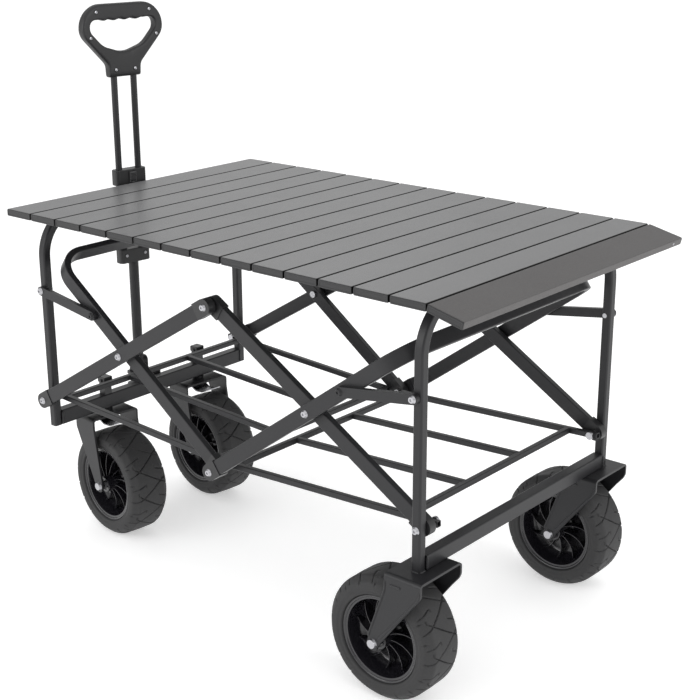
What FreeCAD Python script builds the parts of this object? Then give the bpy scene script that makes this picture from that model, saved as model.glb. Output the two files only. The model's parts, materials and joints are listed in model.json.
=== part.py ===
import FreeCAD, Part
import math
import os

# Folding camp wagon with a slatted table top, open in its working position.
# Millimetres, +Z up, X along the wagon with the pull handle at -X, Y across it.
# The wagon is modelled about its own middle plane and shifted by FRAME_SHIFT_X when it is
# written, so that the origin is on the ground under the middle of the whole wagon.

Vector = FreeCAD.Vector
UP = Vector(0, 0, 1)
ACROSS = Vector(0, 1, 0)
ALONG = Vector(1, 0, 0)
NEAR = -1
FAR = 1
SIDES = (NEAR, FAR)

FRAME_SHIFT_X = -16.985

# ---------------------------------------------------------------- end frames
LEG_X = 424.0
LEG_SIZE = 16.0
LEG_CORNER = 3.5
TUBE_WALL = 1.5
HOOP_BEND = 75.0
TABLE_UNDERSIDE_Z = 638.0
HOOP_TOP_Z = TABLE_UNDERSIDE_Z - 0.4
FRONT_LEG_Y = 239.5
REAR_LEG_Y = 257.3
FRONT_LEG_FOOT_Z = 238.0
FORK_TOP_Z = 226.0
FRONT_CROSSBAR_HEIGHT = 28.0
FRONT_CROSSBAR_DEPTH = 20.0
REAR_CROSSBAR_HEIGHT = 24.0
REAR_CROSSBAR_DEPTH = 20.0

# ---------------------------------------------------------------- side scissors
# Pivots as (x, z) on the front half; the rear half mirrors x.
LOW_PIVOT = (-LEG_X, 292.0)
TOP_PIVOT = (0.0, 548.0)
BOTTOM_PIVOT = (0.0, 267.0)
CROSSING_X = -211.0
CROSSING_Z = LOW_PIVOT[1] + (CROSSING_X + LEG_X) * (TOP_PIVOT[1] - LOW_PIVOT[1]) / LEG_X
CROSSING = (CROSSING_X, CROSSING_Z)
LINK_LEG_PIVOT = (-421.4, 496.0)
LINK_ARM_REACH = 93.5
BAR_WIDTH = 25.0
BAR_THICK = 12.0
BAR_CORNER = 2.0
BAR_END = 4.0
OUTER_LAYER_Y = 259.3
INNER_LAYER_Y = 241.3
CAP_THICK = 14.4
CAP_RADIUS = 14.0
CAP_GRIP = 22.0
U_REACH_PAST_CROSSING = 229.0
U_BEND = 55.0
LINK_WIDTH = 16.0
LINK_THICK = 8.0
FRONT_LINK_Y = 252.0
REAR_LINK_Y = 269.9

# ---------------------------------------------------------------- pins and bolts
PIN_RADIUS = 4.0
RUNNING_CLEARANCE = 0.05
HEAD_RADIUS = 6.6
HEAD_HEIGHT = 3.2
NUT_RADIUS = 6.5
NUT_HEIGHT = 4.5

# ---------------------------------------------------------------- floor racks
RACK_TUBE = 10.0
RACK_SIDE_Y = 225.0
RACK_INNER_Y = 75.0
RACK_MIDDLE_X = 20.5
FRONT_RACK_END_X = 404.0
REAR_RACK_END_X = 378.0
RACK_TAIL = 12.0
RACK_SAG = 2.84

# ---------------------------------------------------------------- wheels and forks
WHEEL_RADIUS = 101.3
TYRE_WIDTH = 79.5
TYRE_SEAT_RADIUS = 71.0
RIM_WIDTH = 68.0
HUB_RADIUS = 15.0
HUB_LENGTH = 78.0
RIM_WALL = 4.0
RIM_WEB = 5.0
RIM_FINS = 11
AXLE_RADIUS = 5.0
FORK_GAP = 94.0
FORK_SHEET = 4.0
FORK_BEND = 7.0
BLADE_END_RADIUS = 12.0
REAR_WHEEL_Y = 243.0
REAR_WHEEL_SETBACK = 56.0
REAR_PLATE = (-35.0, 32.0)
CASTER_Y = 120.0
CASTER_TRAIL = 36.0
CASTER_YAW = -6.0
CASTER_TOP_Z = 232.0
CASTER_PLATE = (-28.0, 28.0)
KINGPIN_RADIUS = 5.0
KINGPIN_TOP_Z = 284.0
BEARING_RADIUS = 11.0
POST_SIZE = 16.0
POST_CAP_SIZE = 20.0
POST_CAP_BOTTOM_Z = 289.0
POST_TOP_Z = 300.0

# ---------------------------------------------------------------- pull handle
HANDLE_X = -463.5
HANDLE_YAW = -7.0
HANDLE_LEAN = -0.2
HANDLE_PIVOT_Z = 290.0
STEM_RADIUS = 9.5
KNUCKLE_RADIUS = 10.8
COLLAR_HALF_WIDTH = 34.0
COLLAR_HALF_DEPTH = 11.0
LOWER_COLLAR = (493.0, 520.0)
UPPER_COLLAR = (643.0, 672.0)
ROD_Y = 21.5
ROD_RADIUS = 6.0
SLEEVE_RADIUS = 7.5
ROD_BOTTOM_Z = 606.0
GRIP_BOTTOM_Z = 843.5
GRIP_TOP_Z = 975.0
GRIP_HALF_DEPTH = 9.0
GRIP_SCREWS = ((57.3, 961.6), (71.4, 916.6), (21.0, 857.0))
GRIP_RECESS = 2.0
GRIP_HALF_WIDTH = 87.0
GRIP_WINDOW_HALF_WIDTH = 71.0
LATCH_HALF_WIDTH = 7.5
BRACKET_HALF_WIDTH = 29.0
LUG_THICK = 4.0
TOP_LUG_Z = 268.0
BOTTOM_LUG_Z = 244.0

# ---------------------------------------------------------------- table top
SLAT_COUNT = 14
SLAT_WIDTH = 61.5
SLAT_PITCH = 64.56
SLAT_THICK = 12.0
TABLE_HALF_WIDTH = 300.0
TABLE_FRONT_X = -438.0
TABLE_TOP_Z = TABLE_UNDERSIDE_Z + SLAT_THICK
END_SLAT_DROOP = 13.0
RAIL_Y = (216.0, 230.0)
RAIL_HEIGHT = 7.0
CONNECTOR_Y = 200.0


# ================================================================ small helpers
def box(x0, x1, y0, y1, z0, z1):
    return Part.makeBox(x1 - x0, y1 - y0, z1 - z0, Vector(x0, y0, z0))


def rod(start, end, radius):
    axis = end - start
    return Part.makeCylinder(radius, axis.Length, start, axis)


def cross_rod(x, z, y0, y1, radius):
    """A round bar along Y from y0 to y1."""
    low = min(y0, y1)
    high = max(y0, y1)
    return rod(Vector(x, low, z), Vector(x, high, z), radius)


def fuse(shapes):
    whole = shapes[0]
    for shape in shapes[1:]:
        whole = whole.fuse(shape)
    return whole.removeSplitter()


def group(shapes):
    return Part.makeCompound(shapes)


def rounded_loop(points, radii, place):
    """A closed wire through flat points whose corners are rounded, laid out by place(u, v)."""
    corners = []
    count = len(points)
    for index in range(count):
        corner = Vector(points[index][0], points[index][1], 0)
        before = Vector(points[index - 1][0], points[index - 1][1], 0) - corner
        after = Vector(points[(index + 1) % count][0], points[(index + 1) % count][1], 0) - corner
        before.normalize()
        after.normalize()
        half = before.getAngle(after) / 2
        radius = radii[index]
        middle = before + after
        middle.normalize()
        start = corner + before * (radius / math.tan(half))
        end = corner + after * (radius / math.tan(half))
        crown = corner + middle * (radius / math.sin(half) - radius)
        corners.append((place(start.x, start.y), place(crown.x, crown.y), place(end.x, end.y)))
    edges = []
    for index in range(count):
        start, crown, end = corners[index]
        edges.append(Part.Arc(start, crown, end).toShape())
        following = corners[(index + 1) % count][0]
        if (following - end).Length > 1e-6:
            edges.append(Part.LineSegment(end, following).toShape())
    return Part.Wire(edges)


def rounded_rectangle(centre, side, rise, width, height, radius):
    """A rounded rectangle wire about centre: width along side, height along rise."""
    u = width / 2
    v = height / 2
    points = ((u, v), (-u, v), (-u, -v), (u, -v))
    return rounded_loop(points, [radius] * 4, lambda a, b: centre + side * a + rise * b)


def prism(points, radii, place, push):
    return Part.Face(rounded_loop(points, radii, place)).extrude(push)


def side_plate(points, radii, y0, y1):
    """A plate whose outline lies in the XZ plane, from y0 to y1."""
    return prism(points, radii, lambda a, b: Vector(a, y0, b), Vector(0, y1 - y0, 0))


def straight_tube(start, end, side, width, height, radius, wall):
    """A hollow rectangular tube from start to end; width is measured along side."""
    axis = end - start
    rise = axis.cross(side)
    rise.normalize()
    outer = Part.Face(rounded_rectangle(start, side, rise, width, height, radius)).extrude(axis)
    inner_radius = max(radius - wall, 0.4)
    bore = rounded_rectangle(start, side, rise, width - 2 * wall, height - 2 * wall, inner_radius)
    return outer.cut(Part.Face(bore).extrude(axis))


def bent_tube(path, start, side, rise, width, height, radius, wall):
    """A hollow rectangular tube swept along a path of straight runs and tangent arcs."""
    outer = rounded_rectangle(start, side, rise, width, height, radius)
    inner_radius = max(radius - wall, 0.4)
    bore = rounded_rectangle(start, side, rise, width - 2 * wall, height - 2 * wall, inner_radius)
    shell = path.makePipeShell([outer], True, False)
    core = path.makePipeShell([bore], True, False)
    return Part.Solid(shell).cut(Part.Solid(core))


def u_path(half, reach, bend, place):
    """A U in the (s, y) plane: up at y = -half, across at s = reach, down at y = +half."""
    lean = bend * (1 - math.sqrt(0.5))
    rise = reach - bend
    a = place(0, -half)
    b = place(rise, -half)
    c = place(reach - lean, -half + lean)
    d = place(reach, -half + bend)
    e = place(reach, half - bend)
    f = place(reach - lean, half - lean)
    g = place(rise, half)
    h = place(0, half)
    edges = [
        Part.LineSegment(a, b).toShape(),
        Part.Arc(b, c, d).toShape(),
        Part.LineSegment(d, e).toShape(),
        Part.Arc(e, f, g).toShape(),
        Part.LineSegment(g, h).toShape(),
    ]
    return Part.Wire(edges)


def mirrored(pivot):
    return (-pivot[0], pivot[1])


def unit(start, end):
    direction = Vector(end[0] - start[0], 0, end[1] - start[1])
    direction.normalize()
    return direction


def point(pivot, y=0.0):
    return Vector(pivot[0], y, pivot[1])


def drilled(shape, pivots, y0, y1, radius=PIN_RADIUS + RUNNING_CLEARANCE):
    for pivot in pivots:
        shape = shape.cut(cross_rod(pivot[0], pivot[1], y0, y1, radius))
    return shape


def rivet(pivot, side, inner_y, outer_y):
    """A button-head rivet through a pivot, flush on its inner side."""
    shank = cross_rod(pivot[0], pivot[1], side * inner_y, side * outer_y, PIN_RADIUS)
    head_start = Vector(pivot[0], side * outer_y, pivot[1])
    head = Part.makeCone(HEAD_RADIUS, HEAD_RADIUS - 2.2, HEAD_HEIGHT, head_start, ACROSS * side)
    recess = head_start + ACROSS * side * (HEAD_HEIGHT - 1.4)
    head = head.cut(Part.makeCylinder(2.2, 2.0, recess, ACROSS * side))
    return fuse([shank, head])


def bolt(pivot, side, inner_y, outer_y):
    """The same with a nut on its inner side."""
    nut_start = inner_y - NUT_HEIGHT
    nut = cross_rod(pivot[0], pivot[1], side * nut_start, side * inner_y, NUT_RADIUS)
    return fuse([rivet(pivot, side, inner_y, outer_y), nut])


os.makedirs("parts", exist_ok=True)
written = []


def write(node, shape):
    placed = shape.copy()
    placed.translate(Vector(FRAME_SHIFT_X, 0, 0))
    placed.exportStep("parts/" + node + ".step")
    written.append((node, placed))


# ================================================================ end frames
def hoop(x, leg_y, foot_z, bolt_pivots, hole_depth):
    """An inverted U of square tube standing at x."""
    top_centre = HOOP_TOP_Z - LEG_SIZE / 2
    height = top_centre - foot_z
    path = u_path(leg_y, height, HOOP_BEND, lambda s, y: Vector(x, y, foot_z + s))
    start = Vector(x, -leg_y, foot_z)
    tube = bent_tube(path, start, ALONG, ACROSS, LEG_SIZE, LEG_SIZE, LEG_CORNER, TUBE_WALL)
    for side in SIDES:
        tube = drilled(tube, bolt_pivots, side * (leg_y - hole_depth), side * (leg_y + hole_depth), PIN_RADIUS)
    return tube


def front_crossbar():
    reach = FRONT_LEG_Y - LEG_SIZE / 2
    middle_z = FRONT_LEG_FOOT_Z + FRONT_CROSSBAR_HEIGHT / 2
    start = Vector(-LEG_X, -reach, middle_z)
    end = Vector(-LEG_X, reach, middle_z)
    tube = straight_tube(start, end, ALONG, FRONT_CROSSBAR_DEPTH, FRONT_CROSSBAR_HEIGHT, 2.5, TUBE_WALL)
    for side in SIDES:
        low = Vector(-LEG_X, side * CASTER_Y, FRONT_LEG_FOOT_Z)
        high = low + UP * FRONT_CROSSBAR_HEIGHT
        tube = tube.fuse(rod(low, high, KINGPIN_RADIUS + 3))
        tube = tube.cut(rod(low - UP, high + UP, KINGPIN_RADIUS + RUNNING_CLEARANCE))
    return tube.removeSplitter()


def rear_crossbar():
    reach = REAR_LEG_Y - LEG_SIZE / 2
    middle_z = FORK_TOP_Z + REAR_CROSSBAR_HEIGHT / 2
    start = Vector(LEG_X, -reach, middle_z)
    end = Vector(LEG_X, reach, middle_z)
    return straight_tube(start, end, ALONG, REAR_CROSSBAR_DEPTH, REAR_CROSSBAR_HEIGHT, 2.5, TUBE_WALL)


def caster_post(side):
    """The upright sleeve over a kingpin, with its square cap and two side screws."""
    y = side * CASTER_Y
    bottom = FRONT_LEG_FOOT_Z + FRONT_CROSSBAR_HEIGHT
    half = POST_SIZE / 2
    cap_half = POST_CAP_SIZE / 2
    sleeve = box(-LEG_X - half, -LEG_X + half, y - half, y + half, bottom, POST_CAP_BOTTOM_Z)
    cap = box(-LEG_X - cap_half, -LEG_X + cap_half, y - cap_half, y + cap_half, POST_CAP_BOTTOM_Z, POST_TOP_Z)
    cap = cap.makeFillet(1.6, cap.Edges)
    screw_z = (POST_CAP_BOTTOM_Z + POST_TOP_Z) / 2 - 2
    screws = cross_rod(-LEG_X, screw_z, y - cap_half - 2.5, y + cap_half + 2.5, 3.2)
    post = fuse([sleeve, cap, screws])
    bore_start = Vector(-LEG_X, y, bottom - 1)
    bore_end = Vector(-LEG_X, y, KINGPIN_TOP_Z + 1)
    return post.cut(rod(bore_start, bore_end, KINGPIN_RADIUS + RUNNING_CLEARANCE))


def write_front_frame():
    pivots = (LOW_PIVOT, LINK_LEG_PIVOT)
    write("front_hoop", hoop(-LEG_X, FRONT_LEG_Y, FRONT_LEG_FOOT_Z, pivots, LEG_SIZE))
    write("front_crossbar", front_crossbar())
    write("caster_posts", group([caster_post(side) for side in SIDES]))
    bolts = []
    for side in SIDES:
        bolts.append(bolt(LOW_PIVOT, side, RACK_SIDE_Y - RACK_TUBE / 2 - 0.4, OUTER_LAYER_Y + CAP_THICK / 2 + 0.3))
        link_outside = FRONT_LINK_Y + LINK_THICK / 2 + 0.3
        bolts.append(rivet(LINK_LEG_PIVOT, side, FRONT_LEG_Y - LEG_SIZE / 2, link_outside))
    write("front_frame_bolts", group(bolts))


def write_rear_frame():
    low = mirrored(LOW_PIVOT)
    link = mirrored(LINK_LEG_PIVOT)
    write("rear_hoop", hoop(LEG_X, REAR_LEG_Y, FORK_TOP_Z, (low, link), LEG_SIZE))
    write("rear_crossbar", rear_crossbar())
    bolts = []
    for side in SIDES:
        bolts.append(bolt(low, side, RACK_SIDE_Y - RACK_TUBE / 2 - 0.4, REAR_LEG_Y + LEG_SIZE / 2))
        link_outside = REAR_LINK_Y + LINK_THICK / 2 + 0.3
        bolts.append(rivet(link, side, REAR_LEG_Y - LEG_SIZE / 2, link_outside))
    write("rear_frame_bolts", group(bolts))


# ================================================================ scissor bars
def flat_bar(start, end, layer_y, pivots):
    """A flat tube between two end pivots, centred on layer_y and drilled at its pivots."""
    direction = unit(start, end)
    first = point(start, layer_y) - direction * BAR_END
    last = point(end, layer_y) + direction * BAR_END
    tube = straight_tube(first, last, ACROSS, BAR_THICK, BAR_WIDTH, BAR_CORNER, TUBE_WALL)
    return drilled(tube, pivots, layer_y - BAR_THICK, layer_y + BAR_THICK)


def end_cap(pivot, direction, layer_y):
    """A plastic cap over a bar's end: it grips the bar and ends round about the pivot."""
    normal = Vector(-direction.z, 0, direction.x)
    centre = point(pivot, layer_y - CAP_THICK / 2)
    thickness = ACROSS * CAP_THICK
    outline = ((0, CAP_RADIUS), (-CAP_GRIP, CAP_RADIUS), (-CAP_GRIP, -CAP_RADIUS), (0, -CAP_RADIUS))
    grip = prism(outline, [0.5] * 4, lambda a, b: centre + direction * a + normal * b, thickness)
    nose = Part.makeCylinder(CAP_RADIUS, CAP_THICK, centre, ACROSS)
    cap = grip.fuse(nose).removeSplitter()
    bar_start = point(pivot, layer_y) - direction * (CAP_GRIP + 1)
    bar_axis = direction * (CAP_GRIP + 1 + BAR_END)
    core = rounded_rectangle(bar_start, ACROSS, normal, BAR_THICK, BAR_WIDTH, BAR_CORNER)
    cap = cap.cut(Part.Face(core).extrude(bar_axis))
    return drilled(cap, (pivot,), layer_y - CAP_THICK, layer_y + CAP_THICK)


def write_bars():
    rear_low = mirrored(LOW_PIVOT)
    names = {NEAR: "near", FAR: "far"}
    front_caps = []
    rear_caps = []
    front_bolts = []
    up_front = unit(LOW_PIVOT, TOP_PIVOT)
    up_rear = unit(rear_low, TOP_PIVOT)
    for side in SIDES:
        outer = side * OUTER_LAYER_Y
        inner = side * INNER_LAYER_Y
        front = flat_bar(LOW_PIVOT, TOP_PIVOT, outer, (LOW_PIVOT, CROSSING, TOP_PIVOT))
        rear = flat_bar(rear_low, TOP_PIVOT, inner, (rear_low, TOP_PIVOT))
        write("front_bar_" + names[side], front)
        write("rear_bar_" + names[side], rear)
        front_caps.append(end_cap(LOW_PIVOT, up_front * -1, outer))
        front_caps.append(end_cap(TOP_PIVOT, up_front, outer))
        rear_caps.append(end_cap(rear_low, up_rear * -1, inner))
        rear_caps.append(end_cap(TOP_PIVOT, up_rear, inner))
        cap_outside = OUTER_LAYER_Y + CAP_THICK / 2
        cap_inside = INNER_LAYER_Y - CAP_THICK / 2 - 0.3
        bar_inside = INNER_LAYER_Y - BAR_THICK / 2 - 0.3
        front_bolts.append(bolt(TOP_PIVOT, side, cap_inside, cap_outside))
        front_bolts.append(bolt(CROSSING, side, bar_inside, OUTER_LAYER_Y + BAR_THICK / 2))
    write("front_bar_caps", group(front_caps))
    write("rear_bar_caps", group(rear_caps))
    write("front_bar_bolts", group(front_bolts))


def arm_point(start, towards, distance):
    direction = unit(start, towards)
    return (start[0] + direction.x * distance, start[1] + direction.z * distance)


def u_bar(crossing, layer_y, pivots):
    """A U of flat tube: two arms up from the bottom pivots, joined across under the table."""
    direction = unit(BOTTOM_PIVOT, crossing)
    normal = Vector(-direction.z, 0, direction.x)
    to_crossing = (point(crossing) - point(BOTTOM_PIVOT)).Length
    reach = to_crossing + U_REACH_PAST_CROSSING + BAR_END
    foot = point(BOTTOM_PIVOT) - direction * BAR_END
    path = u_path(layer_y, reach, U_BEND, lambda s, y: foot + direction * s + ACROSS * y)
    start = foot - ACROSS * layer_y
    tube = bent_tube(path, start, ACROSS, normal, BAR_THICK, BAR_WIDTH, BAR_CORNER, TUBE_WALL)
    for side in SIDES:
        low = side * layer_y - BAR_THICK
        high = side * layer_y + BAR_THICK
        tube = drilled(tube, pivots, low, high)
    return tube


def write_u_bars():
    rear_crossing = mirrored(CROSSING)
    to_crossing = (point(CROSSING) - point(BOTTOM_PIVOT)).Length
    front_link_end = arm_point(BOTTOM_PIVOT, CROSSING, to_crossing + LINK_ARM_REACH)
    rear_link_end = mirrored(front_link_end)
    write("front_u_bar", u_bar(CROSSING, INNER_LAYER_Y, (BOTTOM_PIVOT, CROSSING)))
    write("rear_u_bar", u_bar(rear_crossing, OUTER_LAYER_Y, (BOTTOM_PIVOT, rear_crossing)))
    front_caps = []
    rear_caps = []
    bolts = []
    for side in SIDES:
        down_front = unit(CROSSING, BOTTOM_PIVOT)
        down_rear = unit(rear_crossing, BOTTOM_PIVOT)
        front_caps.append(end_cap(BOTTOM_PIVOT, down_front, side * INNER_LAYER_Y))
        rear_caps.append(end_cap(BOTTOM_PIVOT, down_rear, side * OUTER_LAYER_Y))
        cap_inside = INNER_LAYER_Y - CAP_THICK / 2 - 0.3
        cap_outside = OUTER_LAYER_Y + CAP_THICK / 2
        bolts.append(bolt(BOTTOM_PIVOT, side, cap_inside, cap_outside))
        bar_outside = OUTER_LAYER_Y + BAR_THICK / 2
        bolts.append(rivet(rear_crossing, side, OUTER_LAYER_Y - BAR_THICK / 2, bar_outside))
    write("front_u_caps", group(front_caps))
    write("rear_u_caps", group(rear_caps))
    write("u_bar_bolts", group(bolts))
    return front_link_end, rear_link_end


def link(leg_pivot, arm_pivot, layer_y, side):
    """A short flat link with round ends, from a leg to a U-bar arm, with its arm rivet."""
    direction = unit(leg_pivot, arm_pivot)
    normal = Vector(-direction.z, 0, direction.x)
    length = (point(arm_pivot) - point(leg_pivot)).Length
    inner = layer_y - LINK_THICK / 2
    base = point(leg_pivot, side * inner)
    push = ACROSS * side * LINK_THICK
    half = LINK_WIDTH / 2
    outline = ((0, half), (length, half), (length, -half), (0, -half))
    plate = prism(outline, [0.2] * 4, lambda a, b: base + direction * a + normal * b, push)
    for pivot in (leg_pivot, arm_pivot):
        plate = plate.fuse(Part.makeCylinder(half, LINK_THICK, point(pivot, side * inner), ACROSS * side))
    plate = plate.removeSplitter()
    plate = drilled(plate, (leg_pivot,), side * (inner - 1), side * (inner + LINK_THICK + 1))
    return plate.fuse(rivet(arm_pivot, side, inner, inner + LINK_THICK)).removeSplitter()


def write_links(front_end, rear_end):
    rear_pivot = mirrored(LINK_LEG_PIVOT)
    write("front_links", group([link(LINK_LEG_PIVOT, front_end, FRONT_LINK_Y, side) for side in SIDES]))
    write("rear_links", group([link(rear_pivot, rear_end, REAR_LINK_Y, side) for side in SIDES]))


# ================================================================ floor racks
def sagging(shape, direction):
    """Turn half of the rack about its low pivots so that its middle hangs a little lower."""
    placed = shape.copy()
    placed.rotate(Vector(direction * LEG_X, 0, LOW_PIVOT[1]), ACROSS, -direction * RACK_SAG)
    return placed


def rack_tube(start, end, side):
    return straight_tube(start, end, side, RACK_TUBE, RACK_TUBE, 1.6, 1.2)


def rack_frame(direction, end_x):
    """Half of the floor rack: two side bars on the low pivots and two cross tubes."""
    z = LOW_PIVOT[1]
    pieces = []
    for side in SIDES:
        y = side * RACK_SIDE_Y
        outer_end = Vector(direction * (LEG_X + RACK_TAIL), y, z)
        inner_end = Vector(direction * (RACK_MIDDLE_X - RACK_TUBE / 2), y, z)
        bar = rack_tube(outer_end, inner_end, ACROSS)
        pivot = (direction * LEG_X, z)
        pieces.append(drilled(bar, (pivot,), y - RACK_TUBE, y + RACK_TUBE))
    reach = RACK_SIDE_Y - RACK_TUBE / 2
    for x in (end_x, RACK_MIDDLE_X):
        pieces.append(rack_tube(Vector(direction * x, -reach, z), Vector(direction * x, reach, z), ALONG))
    return sagging(fuse(pieces), direction)


def rack_bars(direction, end_x):
    z = LOW_PIVOT[1]
    bars = []
    for side in SIDES:
        y = side * RACK_INNER_Y
        outer_end = Vector(direction * (end_x - RACK_TUBE / 2), y, z)
        inner_end = Vector(direction * (RACK_MIDDLE_X + RACK_TUBE / 2), y, z)
        bars.append(rack_tube(outer_end, inner_end, ACROSS))
    return sagging(group(bars), direction)


def write_racks():
    write("front_rack_frame", rack_frame(-1, FRONT_RACK_END_X))
    write("front_rack_bars", rack_bars(-1, FRONT_RACK_END_X))
    write("rear_rack_frame", rack_frame(1, REAR_RACK_END_X))
    write("rear_rack_bars", rack_bars(1, REAR_RACK_END_X))


# ================================================================ wheels and forks
def tyre():
    """A wide tyre about the Y axis, its tread crowned and its shoulders round."""
    half = TYRE_WIDTH / 2
    seat = RIM_WIDTH / 2
    profile = (
        (-seat, TYRE_SEAT_RADIUS),
        (-half, TYRE_SEAT_RADIUS + 9),
        (-half, WHEEL_RADIUS - 12),
        (-half + 13, WHEEL_RADIUS),
        (half - 13, WHEEL_RADIUS),
        (half, WHEEL_RADIUS - 12),
        (half, TYRE_SEAT_RADIUS + 9),
        (seat, TYRE_SEAT_RADIUS),
    )
    radii = (0.5, 6, 12, 8, 8, 12, 6, 0.5)
    face = Part.Face(rounded_loop(profile, radii, lambda y, r: Vector(0, y, r)))
    return face.revolve(Vector(0, 0, 0), ACROSS, 360)


def rim():
    """A barrel with a central web, a hub and thin fins on both faces."""
    half = RIM_WIDTH / 2
    barrel = Part.makeCylinder(TYRE_SEAT_RADIUS, RIM_WIDTH, Vector(0, -half, 0), ACROSS)
    hollow = Part.makeCylinder(TYRE_SEAT_RADIUS - RIM_WALL, RIM_WIDTH + 2, Vector(0, -half - 1, 0), ACROSS)
    web = Part.makeCylinder(TYRE_SEAT_RADIUS - RIM_WALL, RIM_WEB, Vector(0, -RIM_WEB / 2, 0), ACROSS)
    hub = Part.makeCylinder(HUB_RADIUS, HUB_LENGTH, Vector(0, -HUB_LENGTH / 2, 0), ACROSS)
    pieces = [barrel.cut(hollow), web, hub]
    for index in range(RIM_FINS):
        fin = box(HUB_RADIUS - 2, TYRE_SEAT_RADIUS - RIM_WALL + 1, -24, 24, -1.2, 1.2)
        fin.rotate(Vector(0, 0, 0), ACROSS, 360.0 * index / RIM_FINS)
        pieces.append(fin)
    whole = fuse(pieces)
    bore = AXLE_RADIUS + RUNNING_CLEARANCE
    return whole.cut(Part.makeCylinder(bore, HUB_LENGTH + 2, Vector(0, -HUB_LENGTH / 2 - 1, 0), ACROSS))


def axle_bolt():
    """The wheel's bolt with a head, a nut and two spacer bushes outside the hub."""
    outside = FORK_GAP / 2 + FORK_SHEET
    inside = FORK_GAP / 2
    shank = Part.makeCylinder(AXLE_RADIUS, 2 * outside, Vector(0, -outside, 0), ACROSS)
    pieces = [shank]
    for side in SIDES:
        head = Part.makeCone(8.5, 7.0, 4.5, Vector(0, side * outside, 0), ACROSS * side)
        bush_length = inside - HUB_LENGTH / 2 - 0.3
        bush = Part.makeCylinder(8.0, bush_length, Vector(0, side * inside, 0), ACROSS * -side)
        pieces.extend((head, bush))
    return fuse(pieces)


def fork(plate, setback, top_z):
    """A bent-sheet fork: a flat top plate and two tapered blades that reach back to the hub."""
    hub_z = WHEEL_RADIUS
    outer = FORK_GAP / 2 + FORK_SHEET
    inner = FORK_GAP / 2
    bottom = hub_z - BLADE_END_RADIUS - 2
    far_reach = 150.0
    push = ALONG * (2 * far_reach)
    outside = ((-outer, bottom), (-outer, top_z), (outer, top_z), (outer, bottom))
    inside = ((-inner, bottom - 5), (-inner, top_z - FORK_SHEET), (inner, top_z - FORK_SHEET), (inner, bottom - 5))
    shell = prism(outside, (0.2, FORK_BEND, FORK_BEND, 0.2), lambda a, b: Vector(-far_reach, a, b), push)
    hollow_bend = FORK_BEND - FORK_SHEET
    hollow = prism(inside, (0.2, hollow_bend, hollow_bend, 0.2), lambda a, b: Vector(-far_reach, a, b), push)
    sheet = shell.cut(hollow)
    end = BLADE_END_RADIUS * 0.92
    outline = (
        (plate[0], top_z + 1),
        (plate[1], top_z + 1),
        (plate[1], top_z - 22),
        (setback + end, hub_z),
        (setback + end * 0.55, hub_z - BLADE_END_RADIUS),
        (setback - end * 0.55, hub_z - BLADE_END_RADIUS),
        (setback - end, hub_z),
        (plate[0], top_z - 26),
    )
    radii = (0.5, 0.5, 14, 5, 6, 6, 5, 14)
    silhouette = side_plate(outline, radii, -outer - 1, outer + 1)
    body = sheet.common(silhouette)
    bore = Part.makeCylinder(AXLE_RADIUS, 2 * outer + 2, Vector(setback, -outer - 1, hub_z), ACROSS)
    return body.cut(bore)


def kingpin():
    """The swivel pin with its bearing disc, standing on the fork's plate."""
    disc_top = FRONT_LEG_FOOT_Z - 0.3
    disc = rod(Vector(0, 0, CASTER_TOP_Z), Vector(0, 0, disc_top), BEARING_RADIUS)
    pin = rod(Vector(0, 0, CASTER_TOP_Z), Vector(0, 0, KINGPIN_TOP_Z), KINGPIN_RADIUS)
    return fuse([disc, pin])


def brake_leaf():
    """The brake's bent leaf under the caster's plate, above the tyre."""
    top = ((-24, 226.5), (-8, 222), (14, 212.5), (34, 215), (48, 221))
    outline = list(top) + [(x, z - 2.2) for x, z in reversed(top)]
    radii = [0.4, 12, 12, 10, 0.4, 0.4, 10, 12, 12, 0.4]
    return side_plate(outline, radii, -18, 18)


def swivelled(shape, side):
    """Turn a caster piece to its standing angle and set it on its kingpin."""
    placed = shape.copy()
    placed.rotate(Vector(0, 0, 0), UP, CASTER_YAW)
    placed.translate(Vector(-LEG_X, side * CASTER_Y, 0))
    return placed


def at_hub(shape, setback):
    placed = shape.copy()
    placed.translate(Vector(setback, 0, WHEEL_RADIUS))
    return placed


def write_wheels():
    names = {NEAR: "near", FAR: "far"}
    one_tyre = tyre()
    one_rim = rim()
    one_axle = axle_bolt()
    caster_fork = fork(CASTER_PLATE, CASTER_TRAIL, CASTER_TOP_Z)
    rear_fork = fork(REAR_PLATE, -REAR_WHEEL_SETBACK, FORK_TOP_Z)
    rear_axles = []
    for side in SIDES:
        name = names[side]
        write("caster_fork_" + name, swivelled(caster_fork, side))
        write("caster_kingpin_" + name, swivelled(kingpin(), side))
        write("caster_brake_" + name, swivelled(brake_leaf(), side))
        write("caster_axle_" + name, swivelled(at_hub(one_axle, CASTER_TRAIL), side))
        write("front_tyre_" + name, swivelled(at_hub(one_tyre, CASTER_TRAIL), side))
        write("front_rim_" + name, swivelled(at_hub(one_rim, CASTER_TRAIL), side))
        place = Vector(LEG_X, side * REAR_WHEEL_Y, 0)
        hub = place + Vector(-REAR_WHEEL_SETBACK, 0, WHEEL_RADIUS)
        write("rear_fork_" + name, rear_fork.translated(place))
        rear_axles.append(one_axle.translated(hub))
        write("rear_tyre_" + name, one_tyre.translated(hub))
        write("rear_rim_" + name, one_rim.translated(hub))
    write("rear_axles", group(rear_axles))


# ================================================================ pull handle
def turned(shape):
    """Set a handle piece on the swivel's axis at its standing yaw."""
    placed = shape.copy()
    placed.rotate(Vector(0, 0, 0), UP, HANDLE_YAW)
    placed.translate(Vector(HANDLE_X, 0, 0))
    return placed


def leaned(shape):
    """Lean a handle piece about the tilt pin, then turn it on the swivel."""
    placed = shape.copy()
    placed.rotate(Vector(0, 0, HANDLE_PIVOT_Z), ACROSS, HANDLE_LEAN)
    return turned(placed)


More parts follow.
